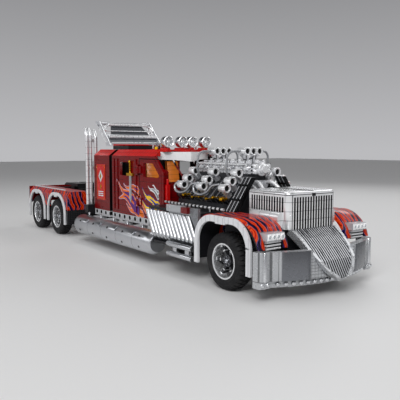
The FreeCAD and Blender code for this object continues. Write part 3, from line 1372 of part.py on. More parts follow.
def tail_panel():
    """Panel across the tail with two round lamps on each side."""
    x1 = DECK_REAR_X - SEAT_GAP
    x0 = x1 - TAIL_T
    panel = box(x0, x1, -DECK_HALF_W, DECK_HALF_W, DECK_EDGE_Z, DECK_TOP_Z)
    z = (DECK_EDGE_Z + DECK_TOP_Z) / 2
    lamp_shares = (0.62, 0.80)
    lamps = []
    for share in lamp_shares:
        y = -DECK_HALF_W * share
        lamps.append(rod(V(x0, y, z), V(x0 - TAIL_LAMP_T, y, z), TAIL_LAMP_R))
    return join([panel] + both_sides(lamps))


def fifth_wheel():
    """Coupling plate with a slotted socket for the trailer's pin and rear ramps."""
    low = FIFTH_Z - FIFTH_PLATE_T
    rear, front, w = FIFTH_X - FIFTH_HALF_L, FIFTH_X + FIFTH_HALF_L, FIFTH_HALF_W
    plate = box(rear, front, -w, w, low, FIFTH_Z)
    throat = box(rear - FIFTH_RAMP_L - OVERRUN, FIFTH_X, -FIFTH_THROAT / 2, FIFTH_THROAT / 2, low - OVERRUN,
                 FIFTH_Z + OVERRUN)
    socket = rod(V(FIFTH_X, 0, low - OVERRUN), V(FIFTH_X, 0, FIFTH_Z + OVERRUN), KINGPIN_BORE_R)
    ramp = prism([(rear, low), (rear, FIFTH_Z), (rear - FIFTH_RAMP_L, low)], "y", -w, -FIFTH_THROAT)
    leg = box(FIFTH_X - FIFTH_LEG, FIFTH_X + FIFTH_LEG, RAIL_Y - RAIL_W / 2, RAIL_Y + RAIL_W / 2,
              RAIL_TOP_Z + SEAT_GAP, low)
    return join([plate] + both_sides([ramp, leg])).cut([throat, socket])


# Side gear

def side_tank():
    """Right chrome tank with coned ends and a row of slots."""
    y, z, r = -TANK_Y, TANK_Z, TANK_R
    rear, front = TANK_REAR_X + TANK_CAP_L, TANK_FRONT_X - TANK_CAP_L
    barrel = rod(V(rear, y, z), V(front, y, z), r)
    nose = Part.makeCone(r, TANK_CAP_R, TANK_CAP_L, V(front, y, z), AXES["x"])
    tail = Part.makeCone(r, TANK_CAP_R, TANK_CAP_L, V(rear, y, z), AXES["x"] * -1)
    slot_shares = (0.2, 0.4, 0.62, 0.86)
    cuts = []
    for share in slot_shares:
        x = between(rear, front, share)
        slot = box(x - TANK_SLOT_L / 2, x + TANK_SLOT_L / 2, y - r, y, z + r - TANK_SLOT_D, z + r + OVERRUN)
        cuts.append(turned(slot, "x", TANK_SLOT_DEGREES, V(0, y, z)))
    return join([barrel, nose, tail]).cut(cuts)


def side_pipe(x):
    """One raked exhaust pipe, cut level at its top and tucked in at its foot."""
    top, knee = V(x, -PIPE_Y, PIPE_TOP_Z), V(x + PIPE_RAKE, -PIPE_Y, PIPE_LOW_Z)
    foot = V(knee.x, -PIPE_Y + PIPE_TUCK, PIPE_FOOT_Z)
    rise, fall = top - knee, foot - knee
    rise.normalize()
    fall.normalize()
    pipe = join([rod(top + rise * PIPE_R, knee, PIPE_R), Part.makeSphere(PIPE_R, knee),
                 rod(knee, foot + fall * PIPE_R, PIPE_R)])
    level = box(x - PIPE_RAKE, x + PIPE_RAKE * 2, -PIPE_Y - PIPE_TUCK, -PIPE_Y + PIPE_TUCK * 2, PIPE_FOOT_Z,
                PIPE_TOP_Z)
    return pipe.common(level)


def side_pipes():
    return both_sides([side_pipe(x + PIPE_PITCH * k) for x in PIPE_GROUP_X for k in range(PIPE_COUNT)])


def step_frame():
    """Trays under the pipes, cross arms below the rails and chrome step tubes."""
    tray_top = PIPE_FOOT_Z - SEAT_GAP
    tray_low = tray_top - PLATE_H
    inner, outer = RAIL_Y - RAIL_W / 2, RAIL_Y + RAIL_W / 2
    tray = box(TANK_FRONT_X + SEAT_GAP, ARCH_REAR_X - SEAT_GAP, -PIPE_Y, -inner, tray_low, tray_top)
    tubes = [rod(V(STEP_REAR_X, -STEP_Y, z), V(STEP_FRONT_X, -STEP_Y, z), STEP_R) for z in (STEP_HIGH_Z, STEP_LOW_Z)]
    pieces = [tray] + tubes
    arms = []
    arm_shares = (0.2, 0.7)
    for share in arm_shares:
        x0 = between(STEP_REAR_X, STEP_FRONT_X, share)
        x1 = x0 + STEP_ARM_W
        arms.append(box(x0, x1, -STEP_Y, STEP_Y, STEP_LOW_Z - STEP_R / 2, tray_low))
        pieces.append(box(x0, x1, -outer, -inner, tray_low, rail_low() - SEAT_GAP))
        pieces.append(box(x0, x1, -STEP_Y, -PIPE_Y, tray_low, STEP_HIGH_Z))
    return join(arms + both_sides(pieces))


def stack_pipe(y, r, top_z):
    """Upright exhaust with its top bent to the rear."""
    foot, knee = V(STACK_X, -y, STACK_FOOT_Z), V(STACK_X, -y, top_z - STACK_BEND)
    tip = V(STACK_X - STACK_SWEEP, -y, top_z - r)
    return join([rod(foot, knee, r), Part.makeSphere(r, knee), rod(knee, tip, r)])


def stacks():
    """Right exhaust group: a thick inner pipe and two slim outer ones, clipped."""
    outer = STACK_OUTER_Y + STACK_PITCH
    pipes = [stack_pipe(STACK_INNER_Y, STACK_INNER_R, STACK_TOP_Z - STACK_R),
             stack_pipe(STACK_OUTER_Y, STACK_R, STACK_TOP_Z), stack_pipe(outer, STACK_R, STACK_TOP_Z)]
    half = STACK_R / 2
    clip_shares = (0.1, 0.45, 0.8)
    clips = []
    for share in clip_shares:
        z = between(STACK_FOOT_Z, STACK_TOP_Z, share)
        clips.append(box(STACK_X - half, STACK_X + half, -outer, -STACK_INNER_Y, z, z + STACK_CLIP_H))
    return join(pipes + clips)


def sword():
    """Right sword ornament, point down: blade, guard, grip and pommel."""
    y1 = -CAB_HALF_W - SEAT_GAP
    half = BLADE_W / 2
    blade = prism([(SWORD_X - half, GUARD_Z), (SWORD_X - half, BLADE_LOW_Z + BLADE_W), (SWORD_X, BLADE_LOW_Z),
                   (SWORD_X + half, BLADE_LOW_Z + BLADE_W), (SWORD_X + half, GUARD_Z)], "y", y1 - BLADE_T, y1)
    guard = box(SWORD_X - GUARD_W / 2, SWORD_X + GUARD_W / 2, y1 - GUARD_T, y1, GUARD_Z, GUARD_Z + GUARD_H)
    y = y1 - HILT_R
    grip = rod(V(SWORD_X, y, GUARD_Z), V(SWORD_X, y, HILT_TOP_Z), HILT_R)
    pommel = Part.makeSphere(POMMEL_R, V(SWORD_X, y1 - POMMEL_R, HILT_TOP_Z))
    return join([blade, guard, grip, pommel])


NODES = {}


def keep(name, pieces):
    """Keep one node, as a single solid or as a compound of like pieces."""
    solids = [solid for piece in pieces for solid in piece.Solids]
    NODES[name] = solids[0] if len(solids) == 1 else Part.makeCompound(solids)


def write_nodes():
    """Write every node with the origin under the middle of the whole model."""
    whole = Part.makeCompound(list(NODES.values())).BoundBox
    middle = (whole.XMin + whole.XMax) / 2
    for name, shape in NODES.items():
        placed = moved(shape, x=-middle)
        placed.exportStep("parts/" + name + ".step")
        print(name, len(placed.Solids), round(placed.Volume, 1), placed.isValid())
    print("front axle at x =", round(FRONT_AXLE_X - middle, 4))


def make_wheels():
    tyre_shape, rim_shape = tyre(), rim()
    places = (("front", FRONT_AXLE_X), ("rear_1", REAR_AXLE_1_X), ("rear_2", REAR_AXLE_2_X))
    for place, x in places:
        for name, side in (("right", -1), ("left", 1)):
            keep("tyre_" + place + "_" + name, [placed_wheel(tyre_shape, x, side)])
            keep("rim_" + place + "_" + name, [placed_wheel(rim_shape, x, side)])


def make_chassis():
    keep("knuckle_right", [knuckle()])
    keep("knuckle_left", [mirror(knuckle())])
    keep("front_axle", [front_axle()])
    keep("rear_axles", [rear_axle(REAR_AXLE_1_X), rear_axle(REAR_AXLE_2_X)])
    keep("frame_rails", frame_rails())
    keep("side_beams", both_sides([side_beam()]))


def make_cab():
    keep("cab_sides", both_sides([cab_side()]))
    keep("cab_frame", [cab_frame()])
    keep("sleeper_rear", [sleeper_rear()])
    keep("gap_frame", [gap_frame()])
    keep("roof", roof())
    keep("door_right", [door()])
    keep("door_left", [mirror(door())])
    keep("cab_interior", both_sides([seat()]) + [dashboard()])
    keep("sword_ornaments", both_sides([sword()]))
    keep("visor", [visor()])
    keep("roof_lamps", roof_lamps())
    keep("roof_horns", roof_horns())
    keep("roof_wing", [roof_wing()])


def make_engine():
    keep("engine_block", [engine_block()])
    keep("cylinder_heads", both_sides([cylinder_head()]))
    keep("intake_horns", intake_horns())
    keep("blower", [blower()])
    keep("top_tubes", top_tubes())
    keep("pulleys", [pulleys()])
    keep("coolers", both_sides([cooler()]))
    keep("bay_shelves", both_sides([bay_shelf()]))
    keep("bay_rails", both_sides([bay_rail()]))
    keep("side_panels", both_sides([side_panel()]))
    keep("engine_hoses", both_sides([engine_hose(x) for x in TOP_TUBE_OPEN_X]))


def make_nose():
    keep("radiator_shell", [radiator_shell()])
    keep("prow", [prow()])
    keep("prow_trims", [prow_trims()])
    keep("bumper", [bumper()])
    keep("front_fenders", both_sides([front_fender()]))
    keep("wheel_wells", both_sides([wheel_well()]))
    keep("front_arches", both_sides([front_arch()]))
    keep("headlights", both_sides([headlight()]))


def make_rear():
    keep("rear_deck", both_sides([deck_half()]))
    keep("rear_arches", both_sides([rear_arch(REAR_AXLE_1_X), rear_arch(REAR_AXLE_2_X)]))
    keep("deck_frames", deck_frames())
    keep("tail_panel", [tail_panel()])
    keep("fifth_wheel", [fifth_wheel()])


def make_sides():
    keep("side_tanks", both_sides([side_tank()]))
    keep("side_pipes", side_pipes())
    keep("step_frame", [step_frame()])
    keep("exhaust_stacks", both_sides([stacks()]))


def main():
    os.makedirs("parts", exist_ok=True)
    make_wheels()
    make_chassis()
    make_cab()
    make_engine()
    make_nose()
    make_rear()
    make_sides()
    write_nodes()


main()
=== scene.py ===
import itertools
import math

import bpy
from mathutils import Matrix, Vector


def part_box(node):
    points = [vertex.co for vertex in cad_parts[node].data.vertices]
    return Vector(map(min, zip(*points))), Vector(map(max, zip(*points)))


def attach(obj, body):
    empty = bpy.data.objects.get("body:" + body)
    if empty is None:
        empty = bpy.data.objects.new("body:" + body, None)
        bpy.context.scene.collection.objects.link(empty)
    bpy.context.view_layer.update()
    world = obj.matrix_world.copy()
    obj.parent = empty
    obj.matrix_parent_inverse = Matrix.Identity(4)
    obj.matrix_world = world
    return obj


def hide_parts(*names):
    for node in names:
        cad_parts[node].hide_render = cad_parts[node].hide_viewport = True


# Looks of the brick-built truck. Places are in millimetres: x forward from the
# front axle, y to the left from the middle and z up from the ground.

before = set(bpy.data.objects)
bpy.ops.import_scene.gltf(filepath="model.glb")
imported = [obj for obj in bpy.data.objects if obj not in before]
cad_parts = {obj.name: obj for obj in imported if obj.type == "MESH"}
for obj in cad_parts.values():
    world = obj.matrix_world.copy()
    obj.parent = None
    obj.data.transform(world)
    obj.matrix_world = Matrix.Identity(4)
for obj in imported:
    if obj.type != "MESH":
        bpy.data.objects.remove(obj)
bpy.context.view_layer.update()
MM = 0.001
EDGE_ANGLE = math.radians(38)  # sharper edges get a small bevel
SIDES = (-1, 1)  # right and left
FORWARD, UP = (1, 0, 0), (0, 0, 1)
BRICK = (16.0, 16.0, 9.6)  # joints between bricks along x, y and z


def node_box(name):
    """Low and high corner of a CAD node, in metres."""
    low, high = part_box(name)
    return Vector(low), Vector(high)


AXLE_LOW, AXLE_HIGH = node_box("tyre_front_right")
AXLE_X = (AXLE_LOW.x + AXLE_HIGH.x) / 2 / MM


def axle_offset(place):
    """Distance of a wheel's centre from the front axle along the truck, in millimetres."""
    low, high = node_box("tyre_" + place)
    return (low.x + high.x) / 2 / MM - AXLE_X


def P(x, y, z):
    """Point in metres of the model's own frame."""
    return Vector(((x + AXLE_X) * MM, y * MM, z * MM))


def linear(rgb):
    """sRGB 0..255 to linear RGBA."""
    out = []
    for c in rgb:
        c = c / 255
        out.append(c / 12.92 if c <= 0.04045 else ((c + 0.055) / 1.055) ** 2.4)
    return (out[0], out[1], out[2], 1.0)


# Shader expressions

class Ex:
    """A number in a node tree; sums and products add Math nodes."""

    def __init__(self, tree, socket):
        self.tree = tree
        self.socket = socket

    def math(self, operation, *others):
        node = self.tree.nodes.new("ShaderNodeMath")
        node.operation = operation
        for k, value in enumerate((self,) + others):
            if isinstance(value, Ex):
                self.tree.links.new(value.socket, node.inputs[k])
            else:
                node.inputs[k].default_value = value
        return Ex(self.tree, node.outputs[0])

    def __add__(self, other):
        return self.math("ADD", other)

    def __sub__(self, other):
        return self.math("SUBTRACT", other)

    def __mul__(self, other):
        return self.math("MULTIPLY", other)

    def __truediv__(self, other):
        return self.math("DIVIDE", other)

    def over(self, other):
        """1 where this is greater than other."""
        return self.math("GREATER_THAN", other)

    def under(self, other):
        return self.math("LESS_THAN", other)

    def between(self, low, high):
        return self.over(low) * self.under(high)

    def either(self, other):
        return self.math("MAXIMUM", other)

    def least(self, other):
        return self.math("MINIMUM", other)

    def clamp(self):
        return self.math("MAXIMUM", 0.0).math("MINIMUM", 1.0)

    def sine(self):
        return self.math("SINE")

    def size(self):
        return self.math("ABSOLUTE")

    def fract(self):
        return self.math("FRACT")

    def floor(self):
        return self.math("FLOOR")

    def power(self, exponent):
        return self.math("POWER", exponent)

    def step(self, low, high):
        """Smooth rise from 0 to 1 between two values."""
        node = self.tree.nodes.new("ShaderNodeMapRange")
        node.interpolation_type = "SMOOTHSTEP"
        self.tree.links.new(self.socket, node.inputs[0])
        node.inputs[1].default_value = low
        node.inputs[2].default_value = high
        return Ex(self.tree, node.outputs[0])


class Surface:
    """One node material and the coordinates that its patterns use."""

    def __init__(self, name):
        self.material = bpy.data.materials.new(name)
        self.material.use_nodes = True
        self.tree = self.material.node_tree
        self.link = self.tree.links.new
        self.shader = self.tree.nodes["Principled BSDF"]
        coords = self.node("TexCoord")
        self.object = coords.outputs["Object"]
        x, y, z = self.split(self.object)
        self.x, self.y, self.z = x * 1000.0 - AXLE_X, y * 1000.0, z * 1000.0
        self.nx, self.ny, self.nz = self.split(coords.outputs["Normal"])

    def feed(self, socket, value):
        """Put a number, an sRGB 0..255 colour or another node's output on an input."""
        if isinstance(value, Ex):
            value = value.socket
        if isinstance(value, bpy.types.NodeSocket):
            self.link(value, socket)
        elif isinstance(value, tuple):
            socket.default_value = linear(value)[:len(socket.default_value)]
        else:
            socket.default_value = value

    def node(self, kind, **inputs):
        """New node with values or other nodes' outputs on the named inputs."""
        node = self.tree.nodes.new("ShaderNode" + kind)
        for name, value in inputs.items():
            self.feed(node.inputs[name], value)
        return node

    def split(self, vector):
        """The three numbers of a vector."""
        return [Ex(self.tree, output) for output in self.node("SeparateXYZ", Vector=vector).outputs]

    def noise(self, scale, detail=2.0, rough=0.5):
        node = self.node("TexNoise", Vector=self.object, Scale=scale, Detail=detail, Roughness=rough)
        return Ex(self.tree, node.outputs[0])

    def cells(self, scale):
        """Random value that is the same inside each cell."""
        node = self.node("TexVoronoi", Vector=self.object, Scale=scale)
        return Ex(self.tree, self.node("SeparateColor", Color=node.outputs["Color"]).outputs[0])

    def blend(self, mask, first, second):
        """Colour first where mask is 0 and second where it is 1."""
        node = self.node("Mix")
        node.data_type = "RGBA"
        for key, value in ((0, mask), (6, first), (7, second)):
            self.feed(node.inputs[key], value)
        return node.outputs[2]

    def layers(self, base, *paints):
        """Colours laid over a base in turn, each where its mask is 1."""
        for mask, colour in paints:
            base = self.blend(mask, base, colour)
        return base

    def scaled(self, colour, factor):
        """Colour times a number."""
        node = self.node("VectorMath", Vector=colour)
        node.operation = "SCALE"
        self.feed(node.inputs["Scale"], factor)
        return node.outputs[0]

    def mottled(self, rgb, scale, spread, low, detail=2.0, rough=0.5):
        """Colour times a noise that runs from low to low + spread."""
        return self.scaled(rgb, self.noise(scale, detail, rough) * spread + low)

    def seams(self, pitch, width=0.35):
        """1 on the joints between bricks; pitch is (x, y, z), and rows are set off by half a brick."""
        lines = None
        row = (self.z / pitch[2]).floor() if pitch[2] else None
        for value, facing, step in zip((self.x, self.y, self.z), (self.nx, self.ny, self.nz), pitch):
            if step:
                shifted = value / step
                if row and value is self.x:
                    shifted = shifted + row * 0.5
                edge = (shifted.fract() - 0.5).size().over(0.5 - width / step / 2)
                line = edge * facing.size().under(0.75)
                lines = lines.either(line) if lines else line
        return lines

    def lines(self, value, pitch, first, width):
        """1 on lines of a width that repeat at a pitch from a first place, in millimetres."""
        away = ((value - first) / pitch + 0.5).fract() - 0.5
        return away.size().under(width / pitch / 2)

    def finish(self, colour, rough, metal=0.0, coat=0.0, bump=None, rough_spread=0.08, bump_depth=0.15):
        """Connect colour, roughness with a little spread, metal (a number or a mask) and bump."""
        spread = self.noise(140.0, 3.0) * (rough_spread * 2) + (rough - rough_spread)
        fine = self.noise(900.0, 3.0) * 0.25
        height = fine - bump if bump else fine
        relief = self.node("Bump", Strength=0.6, Distance=bump_depth * MM, Height=height)
        for name, value in (("Base Color", colour), ("Roughness", spread.clamp()), ("Metallic", metal),
                            ("Coat Weight", coat), ("Coat Roughness", 0.08), ("Specular IOR Level", 0.2),
                            ("Normal", relief.outputs[0])):
            self.feed(self.shader.inputs[name], value)
        return self.material


def brick_colour(s, rgb):
    """Even colour with a slight spread from brick to brick."""
    return s.scaled(rgb, (s.noise(30.0) * 0.16 + 0.92) * (s.cells(90.0) * 0.08 + 0.96))


def plastic(name, rgb, rough, pitch, coat, width=0.35):
    """Moulded plastic bricks with dark joints."""
    s = Surface(name)
    base = brick_colour(s, rgb)
    lines = s.seams(pitch, width) if pitch else None
    if lines:
        base = s.scaled(base, lines * -0.55 + 1.0)
    return s.finish(base, rough, coat=coat, bump=lines)


def chrome(name, rgb=(226, 228, 231), rough=0.24, pitch=None, width=0.35, metal=1.0):
    """Plated plastic: bright, softly mottled, with joints where it is tiled."""
    s = Surface(name)
    base = s.mottled(rgb, 70.0, 0.14, 0.92, 4.0, 0.6)
    lines = s.seams(pitch, width) if pitch else None
    if lines:
        base = s.scaled(base, lines * -0.7 + 1.0)
    return s.finish(base, rough, metal=metal, bump=lines, rough_spread=0.05, bump_depth=0.06)


def rubber(name, rgb=(26, 26, 28)):
    """Matt black rubber with a little dust."""
    s = Surface(name)
    dust = s.noise(120.0, 5.0, 0.7).step(0.45, 0.75)
    base = s.blend(dust, rgb, (44, 43, 43))
    return s.finish(base, 0.62, bump=s.noise(600.0, 2.0), bump_depth=0.12)


def tongues(s, shapes):
    """Distance inside a set of flame tongues on the truck's sides.

    A shape is (root x, root z, tip x, tip z, half width, sway, turns)."""
    best = None
    for x0, z0, x1, z1, half, sway, turn in shapes:
        along = (s.x - x0) / (x1 - x0)
        u = along.clamp()
        middle = u * (z1 - z0) + z0 + (u * (2 * math.pi * turn)).sine() * u * sway
        taper = (u * -1.0 + 1.0).power(0.75) * (u * 9.0).clamp()
        inside = taper * half - (s.z - middle).size()
        within = along.between(0.0, 1.0)
        inside = inside * within - (within * -1.0 + 1.0) * 50.0
        best = best.either(inside) if best else inside
    return best


def painted_bricks(name, rgb, regions, rough=0.22, pitch=BRICK):
    """Bricks with flames, dark joints and painted shade; regions(surface, base) returns the colour."""
    s = Surface(name)
    base = regions(s, brick_colour(s, rgb))
    lines = s.seams(pitch, 0.55)
    base = s.scaled(base, lines * -0.65 + 1.0)
    return s.finish(base, rough, coat=0.06, bump=lines)


CAB_RED = (112, 2, 5)
ROOF_RED = (198, 26, 22)
ORANGE = (232, 110, 22)
YELLOW = (244, 196, 28)
PURPLE = (92, 34, 120)
BLUE = (26, 52, 150)
LILAC = (196, 178, 206)
# Dark colour of the joints, and of the painted shade inside the cab and in the sleeper gap.
JOINT_AND_SHADE_DARK = (16, 9, 10)
CABIN_HALF_W = 49.9
DOOR_REAR_X = -229.0

SLEEPER_FLAMES = (
    (-226.0, 64.0, -296.0, 106.0, 9.0, 9.0, 1.0),
    (-222.0, 60.0, -292.0, 84.0, 9.5, -7.0, 1.2),
    (-228.0, 92.0, -276.0, 100.0, 4.5, 5.0, 1.0),
    (-214.0, 57.0, -268.0, 68.0, 6.0, 5.0, 1.1),
    (-198.0, 58.0, -242.0, 92.0, 5.5, -6.0, 1.0),
)
DOOR_FLAMES = (
    (-172.0, 66.0, -220.0, 97.0, 6.5, 6.0, 1.0),
    (-172.0, 76.0, -212.0, 84.0, 5.0, -5.0, 1.1),
    (-176.0, 64.0, -226.0, 76.0, 5.5, 5.0, 1.3),
)
DOOR_LICKS = (
    (-174.0, 84.0, -204.0, 104.0, 4.6, 5.0, 0.9),
    (-174.0, 92.0, -192.0, 101.0, 3.6, -3.0, 1.0),
)


def gap_shade_mask(s):
    """1 on the faces of the gap between the sleeper and its rear section, where shade is painted dark."""
    return s.x.between(-323.4, -313.2)


def cab_paint(s, base):
    """Flame tongues on the lower cab sides, thrown back from the front, and dark joints, with painted shade
    on the faces in the sleeper gap and inside the cabin.
    """
    side = s.ny.size().over(0.6)
    rear, on = side * s.x.under(DOOR_REAR_X), side * s.x.over(DOOR_REAR_X)
    fire, front, licks = [tongues(s, shapes) for shapes in (SLEEPER_FLAMES, DOOR_FLAMES, DOOR_LICKS)]
    door = (s.x + 227.6).size().under(0.9) * s.z.between(59.0, 138.0)
    head = (s.z - 137.4).size().under(0.7) * s.x.between(-228.0, -170.0)
    ribs = s.lines(s.x, 12.0, -304.6, 0.8) * s.x.between(-310.0, -288.0) * s.z.between(60.0, 137.0)
    lines = door.either(head).either(ribs) * s.y.size().under(54.3)
    # The last two layers are dark joints plus painted shade in the sleeper gap, then painted shade on the
    # faces inside the cabin.
    return s.layers(base, (fire.over(-0.9) * side, LILAC), (fire.over(0.0) * side, ORANGE),
                    (fire.over(2.6) * rear, PURPLE), (front.over(-1.1) * on, BLUE),
                    (front.over(0.2) * on, YELLOW), (front.over(3.0) * on, BLUE),
                    (licks.over(0.0) * on, (222, 222, 226)), (licks.over(1.9) * on, (120, 124, 132)),
                    (lines.either(gap_shade_mask(s)), JOINT_AND_SHADE_DARK), (s.y.size().under(50.3), JOINT_AND_SHADE_DARK))


def painted_shade_inside(s, base):
    """Painted shade: dark on the faces that look into the cabin and in the sleeper gap."""
    inside = s.x.between(-311.0, -188.0) * s.y.size().under(CABIN_HALF_W) * s.z.between(56.0, 142.0)
    return s.blend(inside.either(gap_shade_mask(s)), base, JOINT_AND_SHADE_DARK)


def painted_shade_under(s, base):
    """Painted shade: dark on the faces under the roof and in the sleeper gap."""
    under = s.nz.under(-0.5) * s.y.size().under(CABIN_HALF_W)
    return s.blend(under.either(gap_shade_mask(s)), base, JOINT_AND_SHADE_DARK)


def rail_finish():
    """Bright rail with dark joints."""
    s = Surface("rail joints")
    base = s.mottled((222, 223, 226), 70.0, 0.2, 0.9)
    joints = s.lines(s.x, 8.0, -60.0, 3.4)
    base = s.blend(joints, base, (16, 16, 18))
    return s.finish(base, 0.3, metal=0.6, bump=joints)


def stripes(s, phase):
    """Red and orange flame stripes with broken blue tongues and thin pale edges."""
    bend = s.noise(30.0, 2.0) * 2.4 + s.noise(95.0, 1.0) * 0.8
    wave = (phase + bend).fract()
    red = s.mottled((160, 6, 2), 30.0, 0.16, 0.92)
    tongue = (s.noise(55.0, 1.0) - 0.28).clamp() * 1.7
    edge = tongue + 0.54
    return s.layers(red, (wave.between(0.10, 0.46), (222, 70, 2)), (wave.between(0.22, 0.34), (176, 10, 2)),
                    (wave.over(0.50) * wave.under(edge + 0.045) * tongue.over(0.02), (176, 128, 130)),
                    (wave.over(0.53) * wave.under(edge), (28, 14, 100)),
                    (wave.over(0.60) * wave.under(edge - 0.10), (12, 8, 34)))


def fender_paint():
    """Flames that run back over the fenders."""
    s = Surface("fender flames")
    return s.finish(stripes(s, s.y / 8.0 + s.x / 40.0), 0.3, coat=0.06, bump_depth=0.08)


SKIRT_Z = 46.4


def deck_paint():
    """Flames over the deck's sides and front, and a dark studded skirt below them with a painted highlight
    on its studs.
    """
    s = Surface("deck flames")
    flow = s.z - s.y.size()
    paint = stripes(s, s.x / 12.0 + flow / 34.0)
    front = s.nx.size().over(0.6)
    paint = s.blend(front, paint, stripes(s, s.y / 9.0 + s.z / 34.0))
    studs = s.lines(s.y, 4.0, 0.0, 2.2) * s.lines(s.z, 3.2, 0.0, 1.8)
    # Painted highlight: the studs of the dark skirt are painted brighter than the skirt.
    dark = s.scaled((24, 24, 26), studs * 1.6 + 1.0)
    skirt = s.z.under(SKIRT_Z)
    colour = s.blend(skirt, paint, dark)
    lines = s.seams(BRICK) * s.z.over(SKIRT_Z)
    colour = s.scaled(colour, lines * -0.3 + 1.0)
    return s.finish(colour, 0.32, coat=0.05, bump=lines - studs * skirt)


def shell_finish():
    """Chrome shell with painted shade, dark, on the floors of its grille slots and under the brow, and dark
    seams at its front corners.
    """
    s = Surface("shell tiles")
    base = s.mottled((240, 241, 243), 70.0, 0.14, 0.92, 4.0)
    seams = s.seams((16.0, 0.0, 9.6), 0.5)
    base = s.scaled(base, seams * -0.7 + 1.0)
    # Painted shade: the floors of the front and side grille slots and a line under the brow are dark; the
    # corner lines are dark seams.
    front = s.lines(s.y, 4.0, 0.0, 2.4) * s.x.over(51.9) * s.y.size().under(29.3) * s.z.under(101.2)
    side = s.lines(s.x, 4.0, 45.0, 2.4) * s.y.size().over(34.9)
    side = side * s.x.between(-4.4, 46.4) * s.z.between(85.4, 101.2)
    brow = s.z.between(103.3, 104.0)
    corner = (s.y.size() - 31.0).size().under(0.4) * s.x.over(50.0) * s.z.under(103.4)
    slots = front.either(side).either(brow).either(corner)
    base = s.blend(slots, base, (22, 22, 25))
    return s.finish(base, 0.24, metal=0.55, coat=0.2, bump=seams, bump_depth=0.08)


def prow_finish():
    """Chrome ribs with painted shade, dark and not metal, in the bottoms between them."""
    s = Surface("prow ribs")
    base = s.mottled((196, 198, 202), 70.0, 0.14, 0.92, 4.0)
    # Painted shade: the slots between the ribs, with their walls, are dark and not metal.
    slots = s.lines(s.y, 3.2, 0.0, 1.8) * s.y.size().under(29.9)
    base = s.blend(slots, base, (18, 18, 21))
    return s.finish(base, 0.3, metal=slots * -0.9 + 1.0, bump_depth=0.03)


def rim_finish():
    """Bright rim lip round a dish painted dark as painted shade, with bright spoke edges."""
    s = Surface("rim plating")
    away = s.x.size()
    for place in ("rear_1_right", "rear_2_right"):
        away = away.least((s.x - axle_offset(place)).size())
    up = s.z - (AXLE_LOW.z + AXLE_HIGH.z) / 2 / MM
    radius = (away * away + up * up).power(0.5)
    lip = radius.over(16.4)
    rings = radius.between(11.2, 12.4)
    # Painted shade: the dish inside the lip is dark, for the shade deep in the wheel; the lip and rings are
    # bright plating.
    base = s.mottled((84, 85, 88), 160.0, 0.9, 0.5, 3.0)
    base = s.blend(lip.either(rings), base, (238, 239, 241))
    return s.finish(base, 0.24, metal=0.85, bump_depth=0.06)


def beam_finish():
    """Silver beam bricks with painted shade, dark, in and round the pin holes."""
    s = Surface("beam bricks")
    base = s.mottled((196, 197, 200), 30.0, 0.16, 0.92)
    along = (((s.x + 369.9) / 16.0 + 0.5).fract() - 0.5) * 16.0
    up = s.z - 50.2
    # Painted shade: a dark disc over each pin hole and its collar.
    ring = (along * along + up * up).under(9.6) * s.z.over(44.6)
    base = s.blend(ring, base, (14, 14, 16))
    seams = s.lines(s.x, 16.0, -361.9, 0.5)
    base = s.scaled(base, seams * -0.6 + 1.0)
    return s.finish(base, 0.3, metal=0.2, coat=0.2, bump=seams)


def blower_finish():
    """Bright case with dark joints along its sides and grooves along its top."""
    s = Surface("blower case")
    base = s.mottled((236, 237, 240), 70.0, 0.2, 0.9)
    side = s.y.size().over(13.2) * s.z.under(133.8)
    joints = s.lines(s.x, 7.5, -128.0, 1.5) * side
    rows = s.lines(s.z, 4.2, 124.0, 1.0) * side
    top = s.lines(s.y, 5.0, 2.5, 1.3) * s.z.over(134.0)
    cross = s.lines(s.x, 15.0, -120.5, 1.8) * s.z.over(134.0)
    dark = joints.either(rows).either(top).either(cross)
    base = s.blend(dark, base, (20, 20, 23))
    return s.finish(base, 0.28, metal=0.6, bump=dark)


def head_finish():
    """Dark cylinder heads with paler bands."""
    s = Surface("cylinder heads")
    base = s.mottled((66, 67, 71), 120.0, 0.7, 0.65, 3.0)
    bands = s.lines(s.x, 11.2, -121.0, 2.2)
    base = s.blend(bands, base, (168, 169, 173))
    return s.finish(base, 0.28, metal=0.8, bump=bands)


def cooler_finish():
    """Dark fins, every second one bright, with black slots and cross gaps."""
    s = Surface("cooler fins")
    base = s.mottled((62, 63, 67), 60.0, 0.3, 0.85)
    bright = s.lines(s.x, 6.0, -29.2, 1.7)
    slots = s.lines(s.x, 3.0, -27.7, 1.5)
    rows = s.lines(s.z, 16.0, 94.0, 2.4)
    base = s.layers(base, (bright, (188, 190, 194)), (slots.either(rows), (12, 12, 14)))
    return s.finish(base, 0.3, metal=0.4, coat=0.1, bump=slots)


def headlight_finish():
    """Silver lamp box over a stack of white bars with black gaps."""
    s = Surface("lamp boxes")
    base = s.mottled((196, 198, 202), 60.0, 0.2, 0.9)
    stack = s.z.under(60.7)
    gaps = s.lines(s.z, 3.333, 54.13, 1.3) * stack
    base = s.layers(base, (stack, (232, 233, 235)), (gaps, (12, 12, 14)))
    return s.finish(base, 0.24, metal=0.35, coat=0.3, bump=gaps)


MATERIALS = {}


